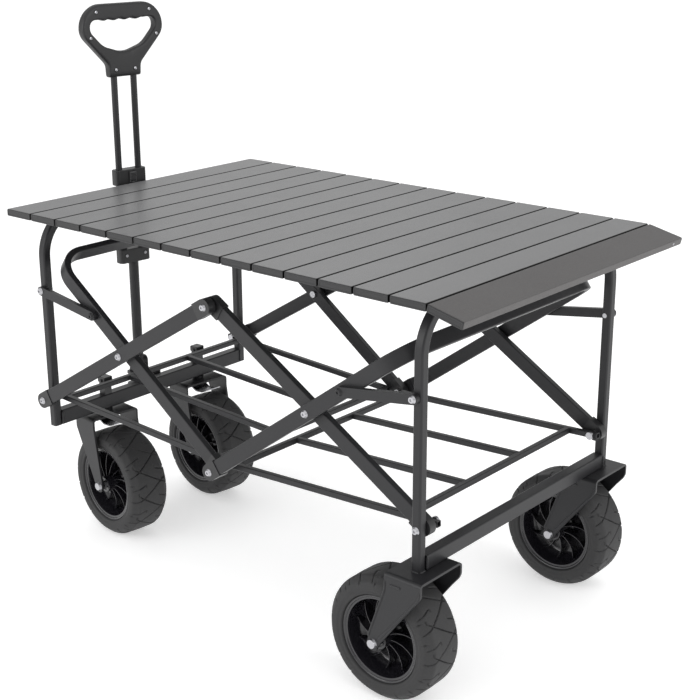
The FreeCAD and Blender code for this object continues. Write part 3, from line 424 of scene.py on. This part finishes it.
def outward(points, faces):
    """The same shell with its faces pointing out: its signed volume comes out positive."""
    corners = np.array([face[:3] for face in faces])
    spare = np.array([(face[0], face[2], face[3]) for face in faces if len(face) == 4])
    triangles = np.concatenate([corners, spare]) if len(spare) else corners
    a, b, c = (points[triangles[:, k]] for k in range(3))
    volume = np.einsum("ij,ij->i", a, np.cross(b, c)).sum()
    return faces if volume > 0 else [face[::-1] for face in faces]


def make_piece(name, shells, body, material, sharp_degrees=38.0):
    """One mesh object of several closed shells, riding on a body."""
    points, faces, start = [], [], 0
    for shell_points, shell_faces in shells:
        turned = outward(shell_points, shell_faces)
        points.append(shell_points)
        faces += [[index + start for index in face] for face in turned]
        start += len(shell_points)
    mesh = bpy.data.meshes.new(name)
    mesh.from_pydata(np.concatenate(points).tolist(), [], faces)
    mesh.materials.append(material)
    mesh.shade_smooth()
    mesh.set_sharp_from_angle(angle=math.radians(sharp_degrees))
    piece = bpy.data.objects.new(name, mesh)
    bpy.context.scene.collection.objects.link(piece)
    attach(piece, body)
    return piece


def placed(points, origin, x_axis, y_axis, z_axis):
    """Local x, y, z in metres carried onto three axes at an origin."""
    axes = np.array([x_axis, y_axis, z_axis], float)
    return np.asarray(points) @ axes + np.array(origin, float)


def rounded_path(corners, radii, step):
    """A closed outline through corners, each replaced by an arc of its radius.

    The arc starts radius * tan(turn / 2) before the corner and ends as far after it. The outline
    is then sampled at even steps of its length.
    """
    corners = np.array(corners, float)
    count = len(corners)
    pieces = []
    for index in range(count):
        here = corners[index]
        back = corners[index - 1] - here
        ahead = corners[(index + 1) % count] - here
        back /= np.linalg.norm(back)
        ahead /= np.linalg.norm(ahead)
        half = math.acos(np.clip(back @ ahead, -1, 1)) / 2
        reach = radii[index] / math.tan(half)
        bisector = (back + ahead) / np.linalg.norm(back + ahead)
        centre = here + bisector * radii[index] / math.sin(half)
        start = here + back * reach - centre
        end = here + ahead * reach - centre
        share = np.linspace(0, 1, 13)[:, None]
        sweep = math.pi - 2 * half
        arc = (np.sin((1 - share) * sweep) * start + np.sin(share * sweep) * end)
        pieces.append(centre + arc / max(math.sin(sweep), 1e-6))
    loop = np.concatenate(pieces)
    loop = np.concatenate([loop, loop[:1]])
    gaps = np.linalg.norm(np.diff(loop, axis=0), axis=1)
    keep = np.concatenate([[True], gaps > 1e-9])
    loop = loop[keep]
    length = np.concatenate([[0], np.cumsum(np.linalg.norm(np.diff(loop, axis=0), axis=1))])
    samples = np.linspace(0, length[-1], max(8, int(round(length[-1] / step))), endpoint=False)
    return np.stack([np.interp(samples, length, loop[:, k]) for k in range(2)], 1)


# %% [markdown]
# ## Wheels
#
# A wheel turns about its axle, so both tyre and rim are worked out about that axis first: a
# section in (across, radius), carried round the axis. The joint of each wheel says where its
# axle is and which way it points, and the same arrays are placed four times.

# %% Where each wheel turns
WHEELS = {}
for end, joint_start in (("front", "front_wheel_spin_"), ("rear", "rear_wheel_spin_")):
    for side in ("near", "far"):
        joint = JOINTS[joint_start + side]
        axle = np.array(joint["axis"], float)
        axle /= np.linalg.norm(axle)
        level = np.cross(axle, (0.0, 0.0, 1.0))
        WHEELS[end, side] = (np.array(joint["pos_m"], float), level, axle)
print("wheels", sorted(WHEELS))

# %% [markdown]
# ### Tyres
#
# The tyre is a wide, nearly flat balloon of rubber. Its tread is cut by two families of curved
# grooves that start at opposite shoulders and cross near the middle, and short notches break the
# shoulders. The grooves are real relief, not bump, because they show along the tyre's outline:
# each point of the section is pushed in towards the axis by the depth of the grooves there.

# %% Section and tread
TYRE_RADIUS = 101.3 * MM
TYRE_HALF = 39.6 * MM
SEAT_RADIUS = 71.0 * MM
GROOVES = 12
GROOVE_DEPTH = 2.6 * MM
GROOVE_HALF = 1.05 * MM
NOTCHES = 18
AROUND_TYRE = 720


def tyre_section():
    """The closed section (across, radius): crowned tread, round shoulders, a bead step."""
    half, seat, top = TYRE_HALF, SEAT_RADIUS, TYRE_RADIUS
    corners = [(-34 * MM, seat), (-half + 1 * MM, seat + 1 * MM), (-half, seat + 11 * MM),
               (-half + 0.3 * MM, top - 11 * MM), (-half + 12 * MM, top - 0.6 * MM), (0, top),
               (half - 12 * MM, top - 0.6 * MM), (half - 0.3 * MM, top - 11 * MM),
               (half, seat + 11 * MM), (half - 1 * MM, seat + 1 * MM), (34 * MM, seat)]
    radii = [0.4 * MM, 3 * MM, 20 * MM, 9 * MM, 9 * MM, 60 * MM, 9 * MM, 9 * MM, 20 * MM,
             3 * MM, 0.4 * MM]
    return rounded_path(corners, radii, 1.7 * MM)


def valley(distance, half_width):
    """1 in the middle of a groove, falling smoothly to 0 at its edges."""
    share = np.clip(1 - np.abs(distance) / half_width, 0, 1)
    return share * share * (3 - 2 * share) * 0.35 + np.clip(share * 2.2, 0, 1) * 0.65


def groove_depth(across, radius, angle):
    """Depth of the tread at a point.

    A groove that starts at one shoulder turns by lean * u ** 1.25 round the wheel over a share u
    of the way across, so it leaves the shoulder nearly square and bends over. One long family
    from each shoulder crosses the other; a short hooked family sits between the long ones.
    """
    pitch = 2 * math.pi / GROOVES
    depth = np.zeros(np.broadcast(across, angle).shape)
    on_tread = np.clip((radius - (TYRE_RADIUS - 11 * MM)) / (3 * MM), 0, 1)
    families = ((0.50, 0.86, 0.0, 1.0), (0.34, 0.34, 0.5, 0.8))
    for side in (-1, 1):
        share = np.clip((TYRE_HALF - side * across) / (2 * TYRE_HALF), 1e-4, 1)
        for lean, reach, start, strength in families:
            bend = lean * share ** 1.25
            slope = 1.25 * lean * share ** 0.25 / (2 * TYRE_HALF)
            phase = angle - bend + (start + 0.25 * side) * pitch
            offset = phase % pitch - pitch / 2
            distance = offset * TYRE_RADIUS / np.sqrt(1 + (slope * TYRE_RADIUS) ** 2)
            present = np.clip((reach - share) / 0.03, 0, 1)
            depth = np.maximum(depth, valley(distance, GROOVE_HALF) * present * strength)
            hook = np.abs(share - reach) * 2 * TYRE_HALF
            near_end = np.abs(offset - 0.03 * side) < 0.03
            depth = np.maximum(depth, valley(hook, GROOVE_HALF) * near_end * strength)
    return depth * on_tread * GROOVE_DEPTH


def notch_depth(across, radius, angle):
    """Short cuts across the shoulder line, where the tread meets the side."""
    pitch = 2 * math.pi / NOTCHES
    offset = ((angle + np.sign(across) * 0.07) % pitch - pitch / 2) * radius
    band = np.exp(-(((radius - (TYRE_RADIUS - 10.5 * MM)) / (3.2 * MM)) ** 2))
    return valley(offset, 1.3 * MM) * band * 1.9 * MM


section = tyre_section()
angle = np.linspace(0, 2 * math.pi, AROUND_TYRE, endpoint=False)
across = section[:, 0][:, None]
radius = section[:, 1][:, None]
bead = np.exp(-(((radius - 80.5 * MM) / (0.9 * MM)) ** 2)) * 0.5 * MM
side_line = np.exp(-(((radius - 77.0 * MM) / (1.2 * MM)) ** 2)) * 0.7 * MM
bulge = np.sign(across) * (bead - side_line) * (np.abs(across) > 36 * MM)
cut = groove_depth(across, radius, angle[None, :])
notch = notch_depth(across, radius, angle[None, :])
tread_radius = radius - cut - notch * 0.4
tread_across = np.broadcast_to(across + bulge, cut.shape) - np.sign(across) * notch
TYRE_GRID = np.stack([tread_radius * np.cos(angle), tread_across, tread_radius * np.sin(angle)], -1)
print("tyre grid", TYRE_GRID.shape)

# %% Set the four tyres
for (end, side), (centre, level, axle) in WHEELS.items():
    points = placed(TYRE_GRID.reshape(-1, 3), centre, level, axle, (0, 0, 1))
    faces = grid_faces(*TYRE_GRID.shape[:2], close_rows=True, close_columns=True).tolist()
    node = f"{end}_tyre_{side}"
    tyre = make_piece("treaded_" + node, [(points, faces)], f"{end}_wheel_{side}",
                      RUBBER, sharp_degrees=50.0)
    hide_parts(node)

# %% [markdown]
# ### Rims
#
# The rim is one glossy moulding: a lip against the tyre, a deep bowl, a hub, and thin curved fins
# that stand edge-on in the bowl. A section carried round the axis makes the bowl. Each fin is a
# thin wall over a curved line from the hub to the bowl, and its edge catches the light.

# %% Bowl and fins
FINS = 11
HUB_RADIUS = 15.0 * MM
BOWL_RADIUS = 60.5 * MM
FIN_HALF = 0.7 * MM


def bowl_section():
    """The closed section (across, radius) of lip, bowl wall, web and hub, both faces alike."""
    half = [(35.4, 70.6), (35.4, 67.6), (33.2, 66.9), (33.2, 63.4), (30.0, 62.6), (12.0, 58.5),
            (3.0, 51.0), (3.0, 21.0), (9.0, 16.2), (38.4, 15.0), (38.6, 10.5), (36.5, 10.0),
            (36.5, 5.05)]
    radii = [0.6, 1.2, 0.8, 1.0, 1.4, 10.0, 7.0, 5.0, 5.0, 1.2, 0.8, 0.5, 0.3]
    corners = half + [(-across, radius) for across, radius in reversed(half)]
    return rounded_path(np.array(corners) * MM, np.array(radii + radii[::-1]) * MM, 1.6 * MM)


def fin_shell(turn):
    """One fin: a wall 1.4 mm thick over a line that bends back as it leaves the hub.

    At a share s of the way out, the line's angle is turn - 0.45 * s ** 1.3. The wall's edge falls
    from 27 mm beside the hub to 17 mm at the bowl, on both faces, and is rounded.
    """
    share = np.linspace(0, 1, 22)
    distance = HUB_RADIUS - 1 * MM + (BOWL_RADIUS - 1.5 * MM - HUB_RADIUS) * share
    bent = turn - 0.45 * share ** 1.3
    line = np.stack([distance * np.cos(bent), distance * np.sin(bent)], 1)
    tangent = np.gradient(line, axis=0)
    tangent /= np.linalg.norm(tangent, axis=1)[:, None]
    normal = np.stack([-tangent[:, 1], tangent[:, 0]], 1)
    edge = (27 - 10 * share ** 0.8) * MM
    corner = np.linspace(0, 2 * math.pi, 12, endpoint=False)
    swell = np.sign(np.cos(corner)) * np.abs(np.cos(corner)) ** 0.7 * FIN_HALF
    reach = np.sin(corner)
    height = np.sign(reach)[None, :] * (edge[:, None] - FIN_HALF) + reach[None, :] * FIN_HALF
    spot = line[:, None, :] + normal[:, None, :] * swell[None, :, None]
    return lidded(np.stack([spot[..., 0], height, spot[..., 1]], -1))


bowl = bowl_section()
rim_angle = np.linspace(0, 2 * math.pi, 120, endpoint=False)
BOWL_GRID = np.stack([bowl[:, 1][:, None] * np.cos(rim_angle),
                      np.broadcast_to(bowl[:, 0][:, None], (len(bowl), len(rim_angle))),
                      bowl[:, 1][:, None] * np.sin(rim_angle)], -1)
FIN_SHELLS = [fin_shell(2 * math.pi * index / FINS) for index in range(FINS)]

for (end, side), (centre, level, axle) in WHEELS.items():
    shells = [(placed(BOWL_GRID.reshape(-1, 3), centre, level, axle, (0, 0, 1)),
               grid_faces(*BOWL_GRID.shape[:2], close_rows=True, close_columns=True).tolist())]
    for points, faces in FIN_SHELLS:
        shells.append((placed(points, centre, level, axle, (0, 0, 1)), faces))
    node = f"{end}_rim_{side}"
    rim = make_piece("finned_" + node, shells, f"{end}_wheel_{side}", RIM_GLOSS)
    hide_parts(node)
print("rim bowl grid", BOWL_GRID.shape, "fins", FINS)

# %% [markdown]
# ## Handle frame
#
# The handle leans and is turned a little on its swivel. Its slide joint points up along the rods
# and its tilt joint points across them, so those two directions, and the one square to both, are
# the handle's own axes. Everything on the handle is drawn in (out, across, up) from the tilt pin.

# %% The handle's own axes
HANDLE_FOOT = np.array(JOINTS["handle_tilt"]["pos_m"], float)
HANDLE_UP = np.array(JOINTS["handle_extend"]["axis"], float)
HANDLE_ACROSS = -np.array(JOINTS["handle_tilt"]["axis"], float)
HANDLE_OUT = np.cross(HANDLE_ACROSS, HANDLE_UP)
PIN_HEIGHT = 290.0


def on_handle(points_mm):
    """Millimetres (out, across, height above the ground at rest) into the frame."""
    local = np.asarray(points_mm, float) - (0, 0, PIN_HEIGHT)
    return placed(local * MM, HANDLE_FOOT, HANDLE_OUT, HANDLE_ACROSS, HANDLE_UP)


print("handle out", HANDLE_OUT.round(3), "up", HANDLE_UP.round(3))

# %% [markdown]
# ### Grip
#
# The grip is a moulded D in two halves that meet in a plane. Its edge is full and round, the hand
# opening has soft waves for the fingers, and the neck runs out square over the rods. The shape is
# a ring: at each angle round the opening there is an outer point and an inner point, and a
# squarish arch joins them over the half's depth.

# %% Outer outline, opening and arch
GRIP_LOW, GRIP_HIGH = 843.5, 975.0
GRIP_HALF_DEPTH = 9.0
OPENING_MIDDLE = 914.0


def polar_radius(outline, angles):
    """How far an outline lies from the opening's middle at each angle, in millimetres."""
    local = outline - (0, OPENING_MIDDLE)
    around = np.arctan2(local[:, 1], local[:, 0])
    order = np.argsort(around)
    return np.interp(angles, around[order], np.linalg.norm(local, axis=1)[order], period=2 * math.pi)


def grip_outlines():
    """The outer outline and the opening, as (across, height) corners with their radii."""
    low, high = GRIP_LOW, GRIP_HIGH
    right = [(34.5, low, 2.5), (35.5, low + 22, 18), (87, low + 77, 28), (87, high, 43)]
    hole = [(0, low + 43.5, 60), (44, low + 57, 40), (70.5, low + 84, 16), (69, low + 104, 12)]
    outlines = []
    for half in (right, hole):
        left = [(-x, y, r) for x, y, r in reversed(half) if x > 0]
        whole = np.array(half + left)
        outlines.append(rounded_path(whole[:, :2], whole[:, 2], 0.5))
    return outlines


def grip_half(direction):
    """One half as a closed ring. The arch is a superellipse, and a flat face closes its foot."""
    outer, hole = grip_outlines()
    angles = np.linspace(-math.pi, math.pi, 360, endpoint=False)
    outside = polar_radius(outer, angles)
    inside = polar_radius(hole, angles)
    rays = np.stack([np.cos(angles), np.sin(angles)], 1)
    outer_points = rays * outside[:, None] + (0, OPENING_MIDDLE)
    inner_points = rays * inside[:, None] + (0, OPENING_MIDDLE)
    on_top = np.clip((inner_points[:, 1] - (GRIP_LOW + 97)) / 5, 0, 1)
    on_top *= np.clip((50 - np.abs(inner_points[:, 0])) / 12, 0, 1)
    waves = np.cos(2 * math.pi * (inner_points[:, 0] + 6) / 23.5)
    inner_points[:, 1] += on_top * (waves - 1.4) * 1.15
    swing = np.linspace(0, math.pi, 25)
    reach = np.sign(np.cos(swing)) * np.abs(np.cos(swing)) ** 0.42
    depth = np.sin(swing) ** 0.5 * (GRIP_HALF_DEPTH - 0.12) + 0.12
    middle = (outer_points + inner_points) / 2
    half_span = (outer_points - inner_points) / 2
    flat = middle[:, None, :] + half_span[:, None, :] * reach[None, :, None]
    out = np.broadcast_to(direction * depth, flat.shape[:2])
    return np.stack([out, flat[..., 0], flat[..., 1]], -1)


for direction, node in ((-1, "grip_front_half"), (1, "grip_rear_half")):
    ring = grip_half(direction)
    faces = grid_faces(*ring.shape[:2], close_rows=True, close_columns=True).tolist()
    points = on_handle(ring.reshape(-1, 3))
    half = make_piece("moulded_" + node, [(points, faces)], "handle_upper", MOULDED)
    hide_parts(node)
print("grip ring", ring.shape)

# %% [markdown]
# ### Screws
#
# The grip and the lower collar are held by small pan-head screws with a cross recess, each in its
# own near-black cup, painted as the shade of the hole the screw sits in. The head is a dome in polar
# coordinates, lowered where either arm of the cross passes, and the cup is a shallow ring around it.

# %% A screw head and its cup
def screw_shell(radius_mm, rise_mm):
    """A dome of that radius and rise, with a cross cut in, on a short closed foot."""
    around = np.linspace(0, 2 * math.pi, 48, endpoint=False)
    share = np.array([1.0, 1.0, 0.94, 0.8, 0.66, 0.56, 0.5, 0.42, 0.3, 0.16, 0.06])
    distance = share[:, None] * radius_mm * np.ones(48)
    height = rise_mm * np.sqrt(np.clip(1 - 0.75 * share ** 2, 0, 1))[:, None] * np.ones(48)
    height[0] = -0.6
    height[1] = 0.1
    x, y = distance * np.cos(around), distance * np.sin(around)
    arm = np.minimum(np.abs(x), np.abs(y)) < 0.17 * radius_mm
    height -= np.where(arm & (share[:, None] < 0.6), 0.5 * rise_mm + 0.2, 0.0)
    return lidded(np.stack([height, x, y], -1))


def cup_shell(radius_mm):
    """A flat ring just proud of the face, its middle dished, that frames a screw; its near-black is
    painted shade for the screw's recess.
    """
    around = np.linspace(0, 2 * math.pi, 40, endpoint=False)
    profile = np.array([(-0.5, 1.0), (0.12, 1.0), (0.22, 0.93), (0.1, 0.86), (-0.1, 0.8)])
    ring = profile[:, 1][:, None] * radius_mm
    height = profile[:, 0][:, None] * np.ones(40)
    return lidded(np.stack([height, ring * np.cos(around), ring * np.sin(around)], -1))


def shells_on_face(make, places, face_out):
    """Copies of a shell on the handle's outer face at (across, height) places."""
    points, faces = make
    return [(on_handle(points + (face_out, across, height)), faces) for across, height in places]


GRIP_SCREWS = [(side * across, height) for side in (-1, 1)
               for across, height in ((57.3, 961.6), (71.4, 916.6), (21.0, 857.0))]
COLLAR_SCREWS = [(-20.9, 508.0), (20.9, 508.0)]
face = GRIP_HALF_DEPTH - 0.1
heads = make_piece("grip_screw_heads", shells_on_face(screw_shell(2.9, 0.9), GRIP_SCREWS, face),
                   "handle_upper", ZINC, 30.0)
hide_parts("grip_screws")
make_piece("grip_screw_cups", shells_on_face(cup_shell(4.4), GRIP_SCREWS, face),
           "handle_upper", PAINTED_SHADE_BLACK, 30.0)
collar_face = 10.9
make_piece("collar_screw_heads", shells_on_face(screw_shell(3.0, 1.2), COLLAR_SCREWS, collar_face),
           "handle_lower", ZINC, 30.0)
make_piece("collar_screw_cups", shells_on_face(cup_shell(4.2), COLLAR_SCREWS, collar_face),
           "handle_lower", PAINTED_SHADE_BLACK, 30.0)
print("screws", len(GRIP_SCREWS) + len(COLLAR_SCREWS))

# %% [markdown]
# ## Slat end plugs
#
# Each slat is a hollow extrusion closed by a moulded plug. From the side one sees a row of dark
# rounded ends. A plug is a rounded rectangle that steps down to its face, so it is a stack of
# rings, and the same stack is placed at both ends of every slat. This model also adds a thin
# near-black lip low down in the gap between two slats. It stands in for whatever closes the gap on
# the real table, where the gap looks black from above. It shuts out light from below, and its black
# is painted shade: the deep gap between slats falls into shade and looks black from above.

# %% Plugs for the flat slats and the drooping one
SLATS = 14
SLAT_WIDTH, SLAT_PITCH, SLAT_THICK = 61.5, 64.56, 12.0
slat_low, slat_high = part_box("table_slats")
PLUG_OUT = 1.4


def plug_rings(width, height, radius, stations):
    """Rings of a rounded rectangle: each station gives (out, inset) from the full outline."""
    rings = []
    for out, inset in stations:
        w, h = width / 2 - inset, height / 2 - inset
        corner = max(radius - inset, 0.3)
        loop = rounded_path([(-w, -h), (w, -h), (w, h), (-w, h)], [corner] * 4, 0.5)
        share = np.linspace(0, len(loop), 56, endpoint=False)
        index = np.arange(len(loop) + 1)
        closed = np.concatenate([loop, loop[:1]])
        even = np.stack([np.interp(share, index, closed[:, k]) for k in range(2)], 1)
        rings.append(np.stack([even[:, 0], np.full(56, out), even[:, 1]], 1))
    return np.array(rings)


PLUG = plug_rings(SLAT_WIDTH - 0.3, SLAT_THICK - 0.3, 1.6,
                  [(-2.0, 1.2), (-0.3, 0.1), (PLUG_OUT - 0.5, 0.0), (PLUG_OUT, 0.6),
                   (PLUG_OUT, 2.4), (PLUG_OUT - 0.5, 2.9)])


def plug_shell(middle, along, up, side):
    """The plug at one end of a slat whose end face has that middle."""
    points, faces = lidded(PLUG * MM)
    return placed(points, middle, along, (0, side, 0), up), faces


middle_z = (slat_low.z + slat_high.z) / 2
shells = []
for index in range(SLATS):
    middle_x = slat_low.x + (index * SLAT_PITCH + SLAT_WIDTH / 2) * MM
    for side, end_y in ((-1, slat_low.y), (1, slat_high.y)):
        shells.append(plug_shell((middle_x, end_y, middle_z), (1, 0, 0), (0, 0, 1), side))
make_piece("slat_end_plugs", shells, "table", CAP_PLASTIC, 30.0)

# Gap lips: they block light from below, and their near-black is painted shade for the deep gaps between
# slats
lip_shells = []
lip_half = (SLAT_PITCH - SLAT_WIDTH) / 2 * MM - 0.05 * MM
lip_y = slat_high.y - 3 * MM
for index in range(SLATS - 1):
    gap_x = slat_low.x + ((index + 1) * SLAT_PITCH - (SLAT_PITCH - SLAT_WIDTH) / 2) * MM
    lip = np.array([(-lip_half, -0.6 * MM), (lip_half, -0.6 * MM), (lip_half, 0.2 * MM),
                    (0, 0.6 * MM), (-lip_half, 0.2 * MM)])
    rings = np.stack([np.stack([gap_x + lip[:, 0], np.full(5, y), slat_low.z + 1.0 * MM + lip[:, 1]],
                               1) for y in np.linspace(-lip_y, lip_y, 9)])
    lip_shells.append(lidded(rings))
make_piece("slat_gap_shade_lips", lip_shells, "table", PAINTED_SHADE_BLACK, 30.0)

hinge = np.array(JOINTS["end_slat_fold"]["pos_m"], float)
DROOP = math.radians(13.0)
droop_along = np.array((math.cos(DROOP), 0, -math.sin(DROOP)))
droop_up = np.array((math.sin(DROOP), 0, math.cos(DROOP)))
first_edge = (SLAT_PITCH - SLAT_WIDTH) / 2
end_middle = hinge + droop_along * (first_edge + SLAT_WIDTH / 2) * MM
end_middle = end_middle - droop_up * SLAT_THICK / 2 * MM
shells = []
for side, end_y in ((-1, slat_low.y), (1, slat_high.y)):
    place = (end_middle[0], end_y, end_middle[2])
    shells.append(plug_shell(place, droop_along, droop_up, side))
make_piece("end_slat_plugs", shells, "end_slat", CAP_PLASTIC, 30.0)
print("plugs", 2 * SLATS + 2)

# %% [markdown]
# ## Weld beads
#
# Where two tubes are welded there is a rippled bead under the powder coat. A bead is a thin round
# bar along the seam whose radius swells and shrinks once for each puddle.

# %% Beads on the frame's joints
def bead_shell(start, end, radius=2.0 * MM, puddle=2.6 * MM):
    """A rippled bar from start to end: radius * (1 + 0.22 * |sin|) with closed, rounded ends."""
    start, end = np.array(start, float), np.array(end, float)
    length = np.linalg.norm(end - start)
    axis = (end - start) / length
    spare = np.array((0, 0, 1.0)) if abs(axis[2]) < 0.9 else np.array((1.0, 0, 0))
    side = np.cross(axis, spare)
    side /= np.linalg.norm(side)
    other = np.cross(axis, side)
    share = np.linspace(0, 1, max(12, int(length / puddle * 6)))
    ripple = 1 + 0.22 * np.abs(np.sin(share * length / puddle * math.pi))
    ends = np.sqrt(np.clip(np.minimum(share, 1 - share) * length / radius, 0.02, 1))
    around = np.linspace(0, 2 * math.pi, 12, endpoint=False)
    thick = (radius * ripple * ends)[:, None, None]
    circle = np.cos(around)[:, None] * side + np.sin(around)[:, None] * other
    return lidded(start + share[:, None, None] * length * axis + thick * circle)


def foot_beads(node, z, reach=8.0 * MM):
    """Beads round the foot of both legs of a hoop at height z."""
    low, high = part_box(node)
    middle_x = (low.x + high.x) / 2
    shells = []
    for edge_y, inward in ((low.y, 1), (high.y, -1)):
        y0, y1 = edge_y, edge_y + inward * 2 * reach
        inset = 1.5 * MM * inward
        for x in (middle_x - reach, middle_x + reach):
            shells.append(bead_shell((x, y0 + inset, z), (x, y1 - inset, z)))
        for y in (y0, y1):
            start = (middle_x - reach + 1.5 * MM, y, z)
            shells.append(bead_shell(start, (middle_x + reach - 1.5 * MM, y, z)))
    return shells


rear_plate_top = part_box("rear_fork_near")[1].z
make_piece("rear_leg_welds", foot_beads("rear_hoop", rear_plate_top), "rear_frame",
           POWDER, 60.0)


def crossbar_beads(node):
    """Upright beads on the four corners of a crossbar's ends."""
    low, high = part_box(node)
    shells = []
    for y in (low.y, high.y):
        for x in (low.x, high.x):
            shells.append(bead_shell((x, y, low.z + 2 * MM), (x, y, high.z - 2 * MM)))
    return shells


for end in ("front", "rear"):
    make_piece(end + "_crossbar_welds", crossbar_beads(end + "_crossbar"), end + "_frame",
               POWDER, 60.0)

# %% [markdown]
# ## Rolled fork edges
#
# The rear fork is pressed from sheet, and its blades get their stiffness from edges that are
# rolled over. A rolled edge is a round bead carried down each side of the blade, from under the
# top plate to just above the axle. A short pressed tab sits under the bend.

# %% Beads down both blades of both rear forks
BLADE_FACE = 51.0 * MM
PLATE_AHEAD, PLATE_BEHIND = 21.0 * MM, 88.0 * MM
BLADE_FOOT = 11.0 * MM


def rolled_edge(path, y, radius):
    """A round bar along a path of (x, z) at a fixed y, with softened bends and tapered ends.

    The path is sampled evenly and each sample is averaged with its neighbours. The bar's ring at
    a sample lies in the plane of y and the path's normal there.
    """
    path = np.array(path, float)
    length = np.concatenate([[0], np.cumsum(np.linalg.norm(np.diff(path, axis=0), axis=1))])
    even = np.linspace(0, length[-1], 72)
    line = np.stack([np.interp(even, length, path[:, k]) for k in range(2)], 1)
    padded = np.pad(line, ((4, 4), (0, 0)), mode="reflect", reflect_type="odd")
    line = np.stack([np.convolve(padded[:, k], np.ones(9) / 9, "valid") for k in range(2)], 1)
    tangent = np.gradient(line, axis=0)
    tangent /= np.linalg.norm(tangent, axis=1)[:, None]
    share = np.linspace(0, 1, 72)
    thick = radius * np.sqrt(np.clip(np.minimum(share, 1 - share) * 20, 0.02, 1))
    around = np.linspace(0, 2 * math.pi, 12, endpoint=False)
    swing = thick[:, None] * np.cos(around)
    x = line[:, 0][:, None] - tangent[:, 1][:, None] * swing
    z = line[:, 1][:, None] + tangent[:, 0][:, None] * swing
    return lidded(np.stack([x, y + thick[:, None] * np.sin(around), z], -1))


shells = []
for side in ("near", "far"):
    axle_x, wheel_y, axle_z = WHEELS["rear", side][0]
    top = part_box("rear_fork_" + side)[1].z
    ahead, behind = axle_x + PLATE_AHEAD, axle_x + PLATE_BEHIND
    for sign in (-1, 1):
        y = wheel_y + sign * (BLADE_FACE - 0.6 * MM)
        front_path = [(ahead + 1.5 * MM, top - 11 * MM), (ahead + 1.5 * MM, top - 27 * MM),
                      (axle_x - BLADE_FOOT + 1.7 * MM, axle_z + 8 * MM)]
        rear_path = [(behind - 1.7 * MM, top - 11 * MM), (behind - 1.7 * MM, top - 23 * MM),
                     (axle_x + BLADE_FOOT - 1.7 * MM, axle_z + 8 * MM)]
        shells.append(rolled_edge(front_path, y, 2.0 * MM))
        shells.append(rolled_edge(rear_path, y, 2.0 * MM))
        tab = [(ahead + 11 * MM, top - 17 * MM), (ahead + 31 * MM, top - 17 * MM)]
        shells.append(rolled_edge(tab, y, 2.2 * MM))
make_piece("rear_fork_rolled_edges", shells, "rear_frame", POWDER, 60.0)
print("rolled edges", len(shells))

# %% Washers under the rear axle bolts and the rivet in the drooping slat's edge
def washer_shell(inner_mm, outer_mm, thick_mm):
    """A flat ring with softened rims, its section carried once round the axis."""
    around = np.linspace(0, 2 * math.pi, 48, endpoint=False)
    soft = 0.2
    section = np.array([(0, inner_mm), (0, outer_mm), (thick_mm - soft, outer_mm),
                        (thick_mm, outer_mm - soft), (thick_mm, inner_mm)])
    height = np.broadcast_to(section[:, 0][:, None], (5, 48))
    radius = section[:, 1][:, None]
    ring = np.stack([height, radius * np.cos(around), radius * np.sin(around)], -1)
    faces = grid_faces(5, 48, close_rows=True, close_columns=True).tolist()
    return ring.reshape(-1, 3) * MM, faces


ring_points, ring_faces = washer_shell(5.1, 8.2, 0.9)
shells = []
for side in ("near", "far"):
    axle_x, wheel_y, axle_z = WHEELS["rear", side][0]
    for sign in (-1, 1):
        origin = (axle_x, wheel_y + sign * (BLADE_FACE - 0.05 * MM), axle_z)
        shells.append((placed(ring_points, origin, (0, sign, 0), (1, 0, 0), (0, 0, 1)), ring_faces))
make_piece("rear_axle_washers", shells, "rear_frame", ZINC, 30.0)

RIVET_FROM_END = 26.0 * MM
rivet_points, rivet_faces = screw_shell(2.2, 0.8)
edge_place = hinge + droop_along * (first_edge + SLAT_WIDTH) * MM - droop_up * SLAT_THICK / 2 * MM
edge_place = (edge_place[0], slat_high.y - RIVET_FROM_END, edge_place[2])
rivet = placed(rivet_points * MM, edge_place, droop_along, (0, 1, 0), droop_up)
make_piece("end_slat_rivet", [(rivet, rivet_faces)], "end_slat", ZINC, 30.0)
